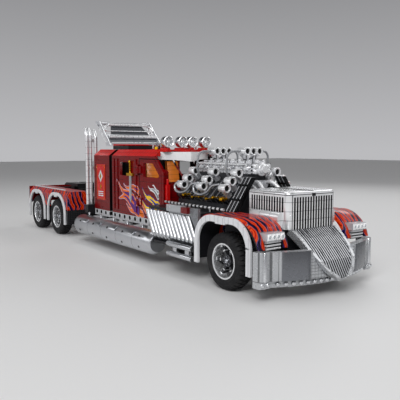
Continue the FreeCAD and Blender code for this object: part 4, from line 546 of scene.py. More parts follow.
def make_materials():
    """All looks, by the short names that pieces and nodes ask for."""
    MATERIALS.update(
        tyre=rubber("tyre rubber"),
        rim=rim_finish(),
        dark=plastic("dark bricks", (26, 26, 29), 0.34, (16.0, 16.0, 8.0), 0.05),
        rail=rail_finish(),
        silver=plastic("silver bricks", (182, 184, 188), 0.32, BRICK, 0.15),
        cab=painted_bricks("cab paint", CAB_RED, cab_paint),
        red=painted_bricks("dark red bricks", CAB_RED, painted_shade_inside, 0.3),
        roof=painted_bricks("roof tiles", ROOF_RED, painted_shade_under, 0.34, (8.0, 16.0, 0.0)),
        visor=plastic("visor plates", (250, 250, 251), 0.36, None, 0.08),
        bright_red=plastic("bright red bricks", (196, 14, 14), 0.26, None, 0.3),
        chrome=chrome("chrome"),
        chrome_dark=chrome("dark chrome", (176, 178, 184), 0.2),
        pipes=chrome("pipe plating", (206, 208, 211), 0.34),
        stacks=chrome("stack plating", (242, 243, 245), 0.3, (0.0, 0.0, 9.6), 0.4, metal=0.75),
        shell=shell_finish(),
        prow=prow_finish(),
        beam=beam_finish(),
        headlight=headlight_finish(),
        white=plastic("pale trim", (214, 215, 218), 0.3, (8.0, 8.0, 0.0), 0.15, 0.5),
        trim=chrome("trim plating", (208, 210, 213), 0.26, (0.0, 8.0, 9.6), 0.4, metal=0.75),
        tank=chrome("tank chrome", (206, 208, 212), 0.3, (48.0, 0.0, 0.0), 0.7),
        # Painted shade: dark cups deep in the pipe mouths.
        bore=rubber("pipe bore shade", (9, 9, 10)),
        loop=chrome("loop plating", (186, 188, 192), 0.38),
        fender=fender_paint(),
        deck=deck_paint(),
        bright=chrome("bright plating", (244, 245, 247), 0.28, metal=0.6),
        blower=blower_finish(),
        heads=head_finish(),
        gold=chrome("gold plate", (214, 158, 34), 0.2),
        lens=lens(),
        hose=braid(),
        bumper=bumper_finish(),
        wing=wing_finish(),
        sword=sword_finish(),
        panel=panel_finish(),
        lamps=lamp_finish(),
        steps=step_finish(),
        inside=interior_finish(),
        tail=tail_finish(),
        cooler=cooler_finish(),
        block=plastic("engine block", (54, 55, 59), 0.36, (8.0, 8.0, 8.0), 0.15),
    )


def lens():
    """Clear ribbed lens."""
    s = Surface("clear lens")
    ribs = (s.y / 2.2).fract().step(0.0, 0.5) * 0.6
    s.shader.inputs["Transmission Weight"].default_value = 0.4
    s.shader.inputs["IOR"].default_value = 1.45
    base = s.mottled((226, 232, 238), 45.0, 0.22, 0.89)
    return s.finish(base, 0.1, coat=0.5, bump=ribs, rough_spread=0.04)


def braid():
    """Grey hose with a woven cover."""
    s = Surface("woven hose")
    one = ((s.x + s.z) / 0.9).fract() - 0.5
    two = ((s.x - s.z + s.y) / 0.9).fract() - 0.5
    weave = one.size() * two.size() * 4.0
    base = s.blend(weave.clamp(), (168, 170, 174), (92, 94, 98))
    return s.finish(base, 0.4, metal=0.35, bump=weave, bump_depth=0.3)


def bumper_finish():
    """Silver bumper with darker smooth plates on both sides of the prow, painted lighter at the foot and
    darker towards the top as painted shading.
    """
    s = Surface("bumper bricks")
    base = s.mottled((186, 188, 191), 30.0, 0.16, 0.92)
    on_plate = s.y.size().between(34.0, 64.0) * s.z.over(21.4) * s.nx.over(0.5) * s.x.over(60.0)
    inner = s.y.size().under(33.9)
    fine = s.seams((0.0, 4.0, 3.2), 0.4) * inner
    columns = s.lines(s.y.size(), 6.4, 72.6, 0.9) * s.y.size().over(66.0) * s.z.over(21.0)
    foot = s.lines(s.z, 40.0, 21.2, 0.7)
    lines = fine.either(columns).either(foot)
    # Painted shading: the plates grow darker from the foot to the top.
    plate_shade_rise = (s.z - 14.0) / 37.0
    plate = s.scaled((112, 114, 119), plate_shade_rise * -0.75 + 1.4)
    base = s.blend(on_plate, base, plate)
    base = s.scaled(base, lines * -0.65 + 1.0)
    return s.finish(base, 0.28, metal=0.45, coat=0.2, bump=lines)


WING_X, WING_Z, WING_RUN, WING_RISE = -330.0, 156.4, 41.0, 40.2  # foot and rake of the wing's face


def wing_finish():
    """Chrome wing frame with grey panels between the end plates."""
    s = Surface("wing chrome")
    between_ends = s.y.size().under(44.9)
    base = s.mottled((206, 208, 212), 70.0, 0.3, 0.84, 4.0)
    share = (s.z - WING_Z) / WING_RISE
    off_face = (s.x - WING_X + share * WING_RUN + 3.0).under(0.4)
    panel = between_ends * off_face * share.between(0.11, 0.92)
    base = s.layers(base, (panel, (96, 98, 103)), (panel * share.under(0.33), (138, 140, 146)))
    lines = s.seams((0.0, 16.0, 0.0)) * panel
    base = s.scaled(base, lines * -0.5 + 1.0)
    return s.finish(base, 0.34, metal=0.55, bump=lines, bump_depth=0.06)


def sword_finish():
    """Silver blade, gold guard, grip and pommel."""
    s = Surface("sword plating")
    gold = s.z.over(112.4)
    base = s.blend(gold, (214, 216, 220), (214, 158, 34))
    grip = s.z.between(117.5, 131.0) * (s.z / 3.0).fract().under(0.4)
    base = s.blend(grip, base, (140, 76, 22))
    ridge = s.x + 252.0
    fuller = ridge.size().under(0.8) * s.z.under(111.5)
    base = s.scaled(base, fuller * -0.35 + 1.0)
    base = s.scaled(base, s.noise(70.0) * 0.2 + 0.9)
    return s.finish(base, 0.22, metal=0.9, bump=fuller)


def panel_finish():
    """Silver side panel with one dark red block."""
    s = Surface("side panel bricks")
    base = s.mottled((172, 174, 178), 30.0, 0.2, 0.9)
    red = s.x.between(-75.0, -62.0) * s.z.over(76.5)
    base = s.layers(base, (s.x.over(-62.0), (122, 124, 128)), (red, (110, 12, 16)))
    return s.finish(base, 0.26, metal=0.3, coat=0.3, bump=s.seams((16.0, 0.0, 0.0)))


def lamp_finish():
    """Chrome roof lamps; the corner markers behind them are yellow."""
    s = Surface("lamp chrome")
    base = s.mottled((210, 212, 216), 70.0, 0.25, 0.87)
    marker = s.x.under(-199.0)
    base = s.blend(marker, base, (238, 190, 20))
    return s.finish(base, 0.16, metal=marker * -0.95 + 1.0)


def step_finish():
    """Dark step frame with chrome outer tubes."""
    s = Surface("step frame")
    tube = s.y.size().over(80.5)
    base = s.blend(tube, (30, 30, 33), (206, 208, 212))
    base = s.scaled(base, s.noise(60.0) * 0.2 + 0.9)
    return s.finish(base, 0.24, metal=tube * 0.95, bump=s.seams((16.0, 16.0, 0.0)) * tube.under(0.5))


def interior_finish():
    """Orange-brown seats and a dark dashboard."""
    s = Surface("seat covers and dashboard")
    seat = s.x.under(-215.0)
    base = s.blend(seat, (30, 29, 31), (216, 120, 38))
    rolls = (s.z / 7.0).fract().under(0.1) * seat
    base = s.scaled(base, s.noise(50.0) * 0.3 + 0.85)
    base = s.scaled(base, rolls * -0.35 + 1.0)
    return s.finish(base, 0.42, coat=0.1, bump=rolls.either(s.seams((0.0, 8.0, 0.0), 0.5)))


def tail_finish():
    """Dark red tail panel with bright round lamps."""
    s = Surface("tail panel bricks")
    base = s.mottled(CAB_RED, 30.0, 0.16, 0.92)
    base = s.blend(s.x.under(-632.1), base, (206, 34, 24))
    return s.finish(base, 0.24, coat=0.4, bump=s.seams((0.0, 16.0, 9.6)))


NODE_LOOK = {
    "tyre": "tyre", "rim": "rim", "knuckle": "dark", "front_axle": "dark", "rear_axles": "dark",
    "frame_rails": "dark", "side_beams": "beam", "cab_sides": "cab", "cab_frame": "red",
    "sleeper_rear": "red", "gap_frame": "dark", "roof": "roof", "door": "cab", "cab_interior": "inside",
    "sword_ornaments": "sword", "visor": "visor", "roof_lamps": "lamps", "roof_horns": "chrome",
    "roof_wing": "wing", "engine_block": "block",
    "cylinder_heads": "heads", "intake_horns": "bright", "blower": "blower", "top_tubes": "bright",
    "pulleys": "silver", "coolers": "cooler", "bay_shelves": "dark", "bay_rails": "rail",
    "side_panels": "panel", "engine_hoses": "hose", "radiator_shell": "shell", "prow": "prow",
    "prow_trims": "trim", "bumper": "bumper", "front_fenders": "fender", "wheel_wells": "dark",
    "front_arches": "white", "headlights": "headlight", "rear_deck": "deck", "rear_arches": "white",
    "deck_frames": "dark", "tail_panel": "tail", "fifth_wheel": "dark", "side_tanks": "tank",
    "side_pipes": "pipes", "step_frame": "steps", "exhaust_stacks": "stacks",
}


def look_of(name):
    """The look whose key is the longest start of the node's name."""
    keys = [k for k in NODE_LOOK if name == k or name.startswith(k + "_")]
    return NODE_LOOK[max(keys, key=len)]


def dress_nodes():
    """Give every CAD node its material and softly broken edges."""
    for name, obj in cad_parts.items():
        material = MATERIALS[look_of(name)]
        if not obj.material_slots:
            obj.data.materials.append(material)
        for slot in obj.material_slots:
            slot.material = material
        if not name.startswith(("tyre", "engine_hoses")):
            weld = obj.modifiers.new("weld", "WELD")
            weld.merge_threshold = 0.01 * MM
            bevel = obj.modifiers.new("edges", "BEVEL")
            bevel.width = 0.25 * MM
            bevel.segments = 2
            bevel.limit_method = "ANGLE"
            bevel.angle_limit = EDGE_ANGLE
            bevel.harden_normals = True


def add_object(name, data):
    """New object in the scene."""
    obj = bpy.data.objects.new(name, data)
    bpy.context.scene.collection.objects.link(obj)
    return obj


# Mesh building

class Builder:
    """Collects rings, boxes and tubes into one mesh, in metres."""

    def __init__(self):
        self.verts = []
        self.faces = []

    def add(self, verts, faces):
        start = len(self.verts)
        self.verts.extend(verts)
        self.faces.extend([tuple(i + start for i in face) for face in faces])

    def skin(self, circles, count, ends=(True, True)):
        """Join circles, given as (centre, radius across, radius up), and close the two ends."""
        verts, faces = [], []
        for at, across, up in circles:
            for k in range(count):
                a = 2 * math.pi * k / count
                verts.append(at + across * math.cos(a) + up * math.sin(a))
        for i in range(0, len(verts) - count, count):
            for k in range(count):
                n = (k + 1) % count
                faces.append((i + k, i + n, i + count + n, i + count + k))
        if ends[0]:
            faces.append(tuple(range(count - 1, -1, -1)))
        if ends[1]:
            faces.append(tuple(range(len(verts) - count, len(verts))))
        self.add(verts, faces)

    def lathe(self, profile, centre, axis, count):
        """Turn (radius, height) points about an axis; ends are closed unless the profile is a loop."""
        axis = Vector(axis).normalized()
        side = axis.orthogonal().normalized()
        other = axis.cross(side)
        circles = [(centre + axis * (h * MM), side * (r * MM), other * (r * MM)) for r, h in profile]
        self.skin(circles, count, [profile[0] != profile[-1]] * 2)

    def ring(self, profile, centre, axis, count):
        """Turn a closed profile about an axis."""
        self.lathe(profile + profile[:1], centre, axis, count)

    def dome(self, centre, axis, r, h, count=16):
        """Round dome of a base radius and height on a flat foot."""
        profile = [(r, 0.0), (r, h * 0.25)]
        for k in range(1, 6):
            a = math.pi / 2 * k / 5
            profile.append((max(r * math.cos(a), 0.01), h * 0.25 + h * 0.75 * math.sin(a)))
        self.lathe(profile, centre, axis, count)

    def box(self, low, high):
        """Box between two corners given in metres."""
        verts = [Vector(corner) for corner in itertools.product(*zip(low, high))]
        faces = [(0, 1, 3, 2), (4, 6, 7, 5), (0, 4, 5, 1), (2, 3, 7, 6), (0, 2, 6, 4), (1, 5, 7, 3)]
        self.add(verts, faces)

    def tube(self, points, r, count, rings):
        """Round tube along a smooth path through points."""
        path = smooth_path(points, rings)
        side, circles = None, []
        for i, at in enumerate(path):
            way = (path[min(i + 1, len(path) - 1)] - path[max(i - 1, 0)]).normalized()
            side = side or way.orthogonal()
            side = (side - way * side.dot(way)).normalized()
            circles.append((at, side * (r * MM), way.cross(side) * (r * MM)))
        self.skin(circles, count)

    def piece(self, name, look, slot, body="truck", bevel=0.0, angle=35.0):
        """Make the object, smooth it by angle and let it ride on a body."""
        mesh = bpy.data.meshes.new(name)
        mesh.from_pydata([tuple(v) for v in self.verts], [], self.faces)
        mesh.update()
        for polygon in mesh.polygons:
            polygon.use_smooth = True
        mesh.set_sharp_from_angle(angle=math.radians(angle))
        mesh.materials.append(MATERIALS[look])
        obj = add_object(name, mesh)
        if bevel:
            edge = obj.modifiers.new("edges", "BEVEL")
            edge.width = bevel * MM
            edge.segments = 2
            edge.angle_limit = EDGE_ANGLE
        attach(obj, body)
        return obj


def smooth_path(points, rings):
    """Catmull-Rom points through a route."""
    ends = [points[0] * 2 - points[1]] + list(points) + [points[-1] * 2 - points[-2]]
    path = []
    for a, b, c, d in zip(ends, ends[1:], ends[2:], ends[3:]):
        for k in range(rings):
            t = k / rings
            path.append((b * 2 + (c - a) * t + (a * 2 - b * 5 + c * 4 - d) * t ** 2
                         + (b * 3 - a - c * 3 + d) * t ** 3) * 0.5)
    path.append(points[-1])
    return path


# Tyres

WHEEL_PLACES = ("front_right", "front_left", "rear_1_right", "rear_1_left", "rear_2_right", "rear_2_left")
TYRE_R, TYRE_W, TREAD_DEPTH = 31.2, 20.0, 1.5
TREAD_STEPS, STEPS_PER_BLOCK = 216, 6
HUB_DEPTH, NUTS, NUT_CIRCLE_R = 6.4, 6, 4.7


def wheel_frame(place):
    """Outer face centre and outward direction of a wheel, from its CAD tyre."""
    low, high = node_box("tyre_" + place)
    side = -1 if place.endswith("right") else 1
    middle = (low + high) / 2
    middle.y = high.y if side > 0 else low.y
    return middle, side


def tread_profile(lug, centre_lug):
    """(radius, depth) points across the tyre; lugs are 0 in a groove and 1 on a block."""
    cut = TREAD_DEPTH * (1 - lug)
    shoulder = TYRE_R - cut
    crown = TYRE_R - TREAD_DEPTH * (1 - centre_lug)
    half = [(19.9, 1.2), (20.4, 0.4), (22.0, 0.1), (23.4, 0.0), (23.9, 0.35), (25.6, 0.35), (26.1, 0.0),
            (27.6, 0.25), (29.2 - cut * 0.5, 1.0), (30.5 - cut * 0.8, 2.2), (shoulder, 3.6),
            (shoulder, 6.4), (29.9, 6.5), (29.9, 7.1), (crown, 7.2), (crown, TYRE_W / 2)]
    return half + [(r, TYRE_W - h) for r, h in half[-2::-1]]


def make_tyre(place):
    """Block-tread tyre that stands in for the plain CAD tyre."""
    centre, side = wheel_frame(place)
    b = Builder()
    for k in range(TREAD_STEPS):
        lug = 0.0 if k % STEPS_PER_BLOCK == 0 else 1.0
        centre_lug = 0.0 if (k + STEPS_PER_BLOCK // 2) % STEPS_PER_BLOCK == 0 else 1.0
        profile = tread_profile(lug, centre_lug)
        a = 2 * math.pi * k / TREAD_STEPS
        for r, h in profile:
            b.verts.append(centre + Vector((r * math.cos(a), -side * h, r * math.sin(a))) * MM)
    width = len(profile)
    for k in range(TREAD_STEPS):
        n = (k + 1) % TREAD_STEPS
        for i in range(width - 1):
            face = (k * width + i, k * width + i + 1, n * width + i + 1, n * width + i)
            b.faces.append(face if side > 0 else face[::-1])
    tyre = b.piece("tread_" + place, "tyre", "tyre", "wheel_" + place, angle=30.0)
    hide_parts("tyre_" + place)


def make_nuts(place):
    """Hub cap and wheel nuts on the hub's face."""
    centre, side = wheel_frame(place)
    b = Builder()
    axis = Vector((0, side, 0))
    face = centre - axis * (HUB_DEPTH * MM)
    b.dome(face, axis, 2.6, 2.6, 20)
    for k in range(NUTS):
        a = 2 * math.pi * (k + 0.5) / NUTS
        spot = face + Vector((math.cos(a), 0, math.sin(a))) * (NUT_CIRCLE_R * MM)
        b.lathe([(0.95, 0), (0.95, 0.9), (0.5, 1.2)], spot, axis, 6)
    b.piece("hub_nuts_" + place, "chrome_dark", "chrome", "wheel_" + place)


# Front

BUMPER_NOSE_X, BUMPER_HALF_W, BUMPER_RISE = 86.0, 73.0, 18.0
LAMP_FACE_X, LAMP_Y, LAMP_Z, LAMP_PITCH = 65.0, 55.4, 64.7, 5.8


def bumper_front(y):
    """X of the bumper's curved face at a distance from the middle."""
    radius = (BUMPER_HALF_W * BUMPER_HALF_W + BUMPER_RISE * BUMPER_RISE) / (2 * BUMPER_RISE)
    return BUMPER_NOSE_X - radius + math.sqrt(radius * radius - y * y)


def make_bumper_domes():
    """Row of round studs along the bumper's foot."""
    b = Builder()
    for k in range(-8, 9):
        y = k * 8.0
        b.dome(P(bumper_front(y) - 5.0, y, 17.9), FORWARD, 2.6, 2.6)
    for x, y in ((65.4, -82.5), (66.0, -76.0), (66.0, 76.0), (65.4, 82.5)):
        b.dome(P(x, y, 18.2), FORWARD, 2.3, 1.9)
    b.piece("bumper_studs", "chrome", "pale_grey")


def make_bumper_columns():
    """Round columns and flat bars on the bumper's ends."""
    b = Builder()
    for side in SIDES:
        b.lathe([(2.3, 0), (2.3, 28.6), (1.9, 29.2)], P(65.2, side * 79.4, 21.4), UP, 20)
        b.box(P(65.6, side * 70.2 - 2.6, 22.0), P(66.6, side * 70.2 + 2.6, 50.2))
    b.piece("bumper_columns", "chrome", "pale_grey", bevel=0.2)


def make_lamp_lenses():
    """White cells with round clear lenses on the lamp boxes."""
    cells, glass = Builder(), Builder()
    for side in SIDES:
        for k in range(4):
            y = side * (LAMP_Y + LAMP_PITCH * k)
            at = P(LAMP_FACE_X, y, LAMP_Z)
            cells.box(P(LAMP_FACE_X - 0.7, y - 2.5, LAMP_Z - 3.2), P(LAMP_FACE_X, y + 2.5, LAMP_Z + 3.2))
            cells.ring([(1.7, 0), (2.4, 0), (2.4, 0.8), (1.9, 0.9)], at, FORWARD, 20)
            glass.dome(at, FORWARD, 1.6, 0.9)
    cells.piece("headlight_cells", "visor", "silver", bevel=0.2)
    glass.piece("headlight_lenses", "lens", "silver")


def make_shell_strip():
    """Dark strip along the middle of the radiator shell's top and brow."""
    b = Builder()
    b.box(P(54.0, -2.6, 101.5), P(54.5, 2.6, 104.8))
    b.box(P(-6.0, -2.6, 107.0), P(51.5, 2.6, 107.4))
    b.piece("shell_strip", "dark", "chrome", bevel=0.15)


# Roof

ROOF_LAMP_X, ROOF_LAMP_Z, ROOF_LAMP_Y = -184.0, 161.0, (-32.0, -8.4, 8.4, 32.0)
VANES = 6


def make_roof_reflectors():
    """Bright bezels, and a hub with radial vanes on a dark plate in each roof lamp."""
    bright, plates = Builder(), Builder()
    for y in ROOF_LAMP_Y:
        at = P(ROOF_LAMP_X, y, ROOF_LAMP_Z)
        bright.ring([(6.3, -0.8), (7.8, -0.6), (8.0, 0.6), (7.2, 1.5), (6.4, 0.9)], at, FORWARD, 40)
        bright.dome(P(ROOF_LAMP_X - 1.2, y, ROOF_LAMP_Z), FORWARD, 2.6, 1.8, 20)
        plates.ring([(2.4, 0), (6.3, 0), (6.3, 0.3), (2.4, 0.3)], P(ROOF_LAMP_X - 1.3, y, ROOF_LAMP_Z),
                    FORWARD, 32)
        for k in range(VANES):
            a = 2 * math.pi * (k + 0.3) / VANES
            way = Vector((0, math.cos(a), math.sin(a)))
            bright.lathe([(0.7, 2.2), (0.7, 6.2)], P(ROOF_LAMP_X - 0.7, y, ROOF_LAMP_Z), way, 8)
    bright.piece("roof_lamp_reflectors", "bright", "chrome")
    plates.piece("roof_lamp_plates", "silver", "chrome")


def wing_point(share, back, y):
    """Point at a share of the wing's rake, moved back and to a side."""
    return P(WING_X - WING_RUN * share - back, y, WING_Z + WING_RISE * share)


def make_wing_tubes():
    """Paired tubes and cross rods along the wing's end plates and top."""
    b = Builder()
    for side in SIDES:
        y = side * 46.5
        for back in (1.2, 13.4):
            b.tube([wing_point(share, back, y) for share in (0.02, 0.5, 0.97)], 1.2, 10, 2)
        for share in (0.10, 0.26, 0.42, 0.58, 0.74, 0.90):
            b.tube([wing_point(share, 1.2, y), wing_point(share + 0.03, 13.4, y)], 0.9, 8, 2)
        b.tube([wing_point(0.93, 1.0, side * 30.0), wing_point(0.95, 0.6, side * 38.0),
                wing_point(0.93, 1.0, y)], 1.7, 12, 4)
    for share, back, half, r in ((0.86, -1.0, 34.0, 2.8), (0.36, -1.8, 43.5, 2.6),
                                 (0.60, 0.4, 43.5, 1.0), (0.12, -1.4, 43.5, 1.2)):
        b.tube([wing_point(share, back, y) for y in (-half, 0.0, half)], r, 16, 2)
    for side in SIDES:
        b.tube([wing_point(share, back, side * y) for share, back, y in
                ((0.86, -1.0, 34.0), (0.80, -0.6, 39.0), (0.72, -0.2, 43.0), (0.60, 0.0, 45.0))], 1.8, 12, 4)
    b.piece("wing_tubes", "bright", "chrome")
    rod = Builder()
    rod.tube([wing_point(0.03, -1.6, y) for y in (-43.0, 0.0, 43.0)], 1.3, 12, 2)
    rod.piece("wing_rod", "bright_red", "dark_red")


# Cab

SLEEPER_Y, PLATE_Y = 54.0, 54.7  # faces of the sleeper's side and of the banner plates


def diamond(b, side, x, z, half_w, half_h, y, thick):
    """Flat lozenge on a side plate."""
    near, far = sorted((side * y, side * (y + thick)))
    ring = [(x - half_w, z), (x, z - half_h), (x + half_w, z), (x, z + half_h)]
    verts = [P(px, near, pz) for px, pz in ring] + [P(px, far, pz) for px, pz in ring]
    b.add(verts, [(0, 1, 2, 3), (7, 6, 5, 4), (0, 4, 5, 1), (1, 5, 6, 2), (2, 6, 7, 3), (3, 7, 4, 0)])


def side_bar(b, side, x0, x1, z0, z1, y, thick):
    """Flat bar on a side plate."""
    near, far = sorted((side * y, side * (y + thick)))
    b.box(P(x0, near, z0), P(x1, far, z1))


def make_banners():
    """Bright plates on the rear of the sleeper with plain lozenges and bars."""
    plate, pale, gilt = Builder(), Builder(), Builder()
    for side in SIDES:
        side_bar(plate, side, -368.0, -338.0, 70.0, 127.0, SLEEPER_Y, 0.7)
        for x0, x1, z0, z1 in ((-366.6, -366.2, 72.0, 125.0), (-339.8, -339.4, 72.0, 125.0),
                               (-366.6, -339.4, 71.6, 72.0), (-366.6, -339.4, 125.0, 125.4)):
            side_bar(gilt, side, x0, x1, z0, z1, PLATE_Y, 0.3)
        diamond(pale, side, -353.0, 108.0, 7.5, 10.0, PLATE_Y, 0.4)
        diamond(gilt, side, -353.0, 108.0, 3.4, 4.6, PLATE_Y + 0.4, 0.3)
        diamond(gilt, side, -353.0, 91.0, 2.4, 5.0, PLATE_Y, 0.4)
        for k in range(3):
            side_bar(pale, side, -362.0, -344.0, 76.0 + 3.2 * k, 77.6 + 3.2 * k, PLATE_Y, 0.3)
    plate.piece("banner_plates", "bright_red", "dark_red", bevel=0.3)
    pale.piece("banner_lozenges", "white", "dark_red", bevel=0.1)
    gilt.piece("banner_edges", "gold", "dark_red", bevel=0.08)


def make_corner_posts():
    """Bright red posts in front of the cab's corners, on the bay shelves."""
    b = Builder()
    for side in SIDES:
        low, high = sorted((side * 46.6, side * 51.8))
        b.box(P(-162.2, low, 78.1), P(-157.4, high, 104.0))
        b.lathe([(1.7, 0), (1.7, 7.0), (1.2, 7.6)], P(-159.8, side * 49.2, 104.0), UP, 16)
    b.piece("corner_posts", "bright_red", "dark_red", bevel=0.3)


# Sides and rear

TANK_Y, TANK_Z, TANK_STUD_R = 72.0, 28.8, 15.3
DECK_TOP_Z, STRIP_TOP_Z = 78.0, 79.4


def make_tank_pegs():
    """Small bright pegs between the tanks and the side beams."""
    b = Builder()
    for side in SIDES:
        for k in range(5):
            b.lathe([(1.6, 0), (1.6, 4.4), (2.1, 4.6), (2.1, 6.0), (1.5, 6.6)],
                    P(-378.0 + 44.0 * k, side * 64.0, 41.6), UP, 14)
    b.piece("tank_pegs", "chrome", "chrome")


def make_tank_studs():
    """Dark round studs in two rows along the tanks' sides."""
    b = Builder()
    for side in SIDES:
        for k in range(5):
            for turn in (32.0, -24.0):
                a = math.radians(turn)
                way = Vector((0, side * math.cos(a), math.sin(a)))
                root = P(-366.0 + 48.0 * k, side * TANK_Y, TANK_Z) + way * (TANK_STUD_R * MM)
                b.lathe([(1.6, 0), (1.6, 0.6), (1.2, 0.9)], root, way, 14)
    b.piece("tank_studs", "dark", "chrome")


def make_deck_strips():
    """Pale strips along the outer and rear edges of the rear deck."""
    b = Builder()
    for side in SIDES:
        low, high = sorted((side * 70.5, side * 67.3))
        b.box(P(-630.0, low, DECK_TOP_Z), P(-470.0, high, STRIP_TOP_Z))
        low, high = sorted((side * 44.0, side * 70.5))
        b.box(P(-630.0, low, DECK_TOP_Z), P(-626.0, high, STRIP_TOP_Z))
    b.piece("deck_strips", "white", "pale_grey", bevel=0.3)


# Engine bay

HORN_MOUTH_X = (-34.0, -79.0, -121.0)
HORN_MOUTH_YZ = ((30.2, 123.3), (39.9, 114.1), (48.2, 106.2))
TUBE_MOUTH_X, TUBE_MOUTH_Y, TUBE_MOUTH_Z = (-43.5, -103.0), (-9.5, 0.0, 9.5), 148.5
BLOWER_FRONT_X = -30.0


def mouth(bright, dark, x, y, z, r, bore, depth):
    """Rolled rim, short bright throat and band round a bore that opens to the front, with a dark cup deep in
    the bore as painted shade.
    """
    at = P(x, y, z)
    bright.ring([(bore, -0.6), (r + 0.1, -0.9), (r + 0.5, -0.2), (r + 0.4, 0.6), (r - 0.3, 1.0),
                 (bore, 0.6)], at, FORWARD, 32)
    bright.ring([(bore, 0.2), (bore - 0.5, -0.7), (bore - 0.5, -1.4), (bore, -1.4)], at, FORWARD, 28)
    bright.ring([(r, -5.2), (r + 0.35, -5.0), (r + 0.35, -3.6), (r, -3.4)], at, FORWARD, 28)
    # Painted shade: a dark cup deep in the bore.
    dark.lathe([(0.01, 0.2 - depth), (bore - 0.2, 0.3 - depth), (bore - 0.2, -0.9)], at, FORWARD, 24)


def make_mouths():
    """Mouths of the intake horns and of the ram tubes."""
    bright, dark = Builder(), Builder()
    for x in HORN_MOUTH_X:
        for y, z in HORN_MOUTH_YZ:
            for side in SIDES:
                mouth(bright, dark, x, side * y, z, 4.9, 3.79, 9.0)
    for x in TUBE_MOUTH_X:
        for y in TUBE_MOUTH_Y:
            mouth(bright, dark, x, y, TUBE_MOUTH_Z, 4.5, 3.49, 11.0)
    bright.piece("pipe_mouths", "bright", "chrome")
    dark.piece("pipe_bore_shade", "bore", "dark_grey")


def make_blower_details():
    """Caps, covers and rails that sit on the blower."""
    b = Builder()
    for side in SIDES:
        for k in range(7):
            x = -128.0 + 15.0 * k
            b.lathe([(2.6, 0), (2.6, 2.6), (1.7, 3.2), (1.7, 4.6)], P(x, side * 15.0, 128.2),
                    (0, side, 0), 16)
            b.lathe([(1.9, 0), (1.9, 3.4), (1.2, 4.0)], P(x + 7.0, side * 5.0, 134.5), UP, 14)
        b.tube([P(x, side * 18.4, 133.0) for x in (-132.0, -84.0, -36.0)], 1.3, 10, 2)
    b.lathe([(8.0, 0), (8.0, 2.0), (6.2, 2.6), (6.2, 5.0), (4.2, 6.0), (4.2, 8.0)],
            P(BLOWER_FRONT_X, 0, 127.5), FORWARD, 32)
    for y in (-10.0, 10.0):
        for z in (131.0, 124.8):
            b.lathe([(3.0, 0), (3.0, 2.4), (1.8, 3.4)], P(BLOWER_FRONT_X, y, z), FORWARD, 18)
    b.piece("blower_details", "bright", "chrome")


def make_front_cluster():
    """Bright pipes between the engine's front and the shell."""
    b = Builder()
    inner = ((-31.0, 9.0, 112.0), (-24.0, 10.0, 112.5), (-16.0, 12.0, 108.0), (-9.0, 13.0, 102.0))
    outer = ((-31.0, 17.0, 108.0), (-25.0, 17.5, 108.0), (-17.0, 18.0, 104.0), (-9.0, 18.5, 99.0))
    for side in SIDES:
        for r, count, route in ((2.4, 14, inner), (1.8, 12, outer)):
            b.tube([P(x, side * y, z) for x, y, z in route], r, count, 5)
    b.piece("front_cluster", "bright", "chrome")


def make_gold_fittings():
    """Gold balls with stems between the horns and the rails."""
    b = Builder()
    for side in SIDES:
        for x, z, r in ((-42.4, 93.3, 3.4), (-120.3, 93.6, 3.0), (-102.0, 91.8, 2.0),
                        (-73.0, 91.6, 2.0), (-59.3, 94.0, 2.3), (-88.0, 93.0, 1.8)):
            spot = P(x, side * 49.0, z)
            b.lathe([(r * 0.4, -r), (r * 0.8, -r * 0.7), (r, 0), (r * 0.8, r * 0.7), (r * 0.4, r)], spot,
                    (0, side, 0.2), 20)
            b.lathe([(r * 0.45, 0), (r * 0.45, 8.0)], spot - Vector((0, side * 8.0 * MM, 0)),
                    (0, side, 0), 12)
    b.piece("gold_fittings", "gold", "chrome")


def make_loops():
    """Bright return pipes that loop under the horns."""
    b = Builder()
    route = ((-9.0, 51.0, 110.4), (-15.5, 52.5, 105.0), (-12.0, 53.5, 98.5), (1.0, 53.5, 96.6),
             (14.0, 53.5, 100.6), (22.0, 52.5, 108.0), (33.0, 50.5, 110.4))
    for side in SIDES:
        for mouth_x in HORN_MOUTH_X[1:]:
            b.tube([P(mouth_x + x, side * y, z) for x, y, z in route], 1.6, 12, 5)
    b.piece("return_pipes", "loop", "chrome")


# Stage

def make_floor():
    """Plain pale floor just under the tyres."""
    mesh = bpy.data.meshes.new("floor")
    d = 6.0
    mesh.from_pydata([(-d, -d, 0), (d, -d, 0), (d, d, 0), (-d, d, 0)], [], [(0, 1, 2, 3)])
    floor = add_object("floor", mesh)
    floor.location.z = -0.2 * MM
    material = bpy.data.materials.new("pale floor")
    material.use_nodes = True
    tree = material.node_tree
    shader = tree.nodes["Principled BSDF"]
    noise = tree.nodes.new("ShaderNodeTexNoise")
    noise.inputs["Scale"].default_value = 3.0
    ramp = tree.nodes.new("ShaderNodeMapRange")
    ramp.inputs[3].default_value = 0.72
    ramp.inputs[4].default_value = 0.78
    tree.links.new(noise.outputs[0], ramp.inputs[0])
    grey = tree.nodes.new("ShaderNodeCombineColor")
    for k in range(3):
        tree.links.new(ramp.outputs[0], grey.inputs[k])
    tree.links.new(grey.outputs[0], shader.inputs["Base Color"])
    shader.inputs["Roughness"].default_value = 0.55
    mesh.materials.append(material)


def make_world():
    """Pale surroundings near the horizon that grow dark overhead."""
    world = bpy.data.worlds.new("studio")
    bpy.context.scene.world = world
    world.use_nodes = True
    tree = world.node_tree
    back = tree.nodes["Background"]
    coords = tree.nodes.new("ShaderNodeTexCoord")
    split = tree.nodes.new("ShaderNodeSeparateXYZ")
    tree.links.new(coords.outputs["Generated"], split.inputs[0])
    ramp = tree.nodes.new("ShaderNodeValToRGB")
    tree.links.new(split.outputs[2], ramp.inputs[0])
    low, high = ramp.color_ramp.elements
    low.position, low.color = 0.0, (0.66, 0.66, 0.68, 1)
    high.position, high.color = 0.6, (0.03, 0.03, 0.035, 1)
    tree.links.new(ramp.outputs[0], back.inputs[0])
    back.inputs[1].default_value = 0.75


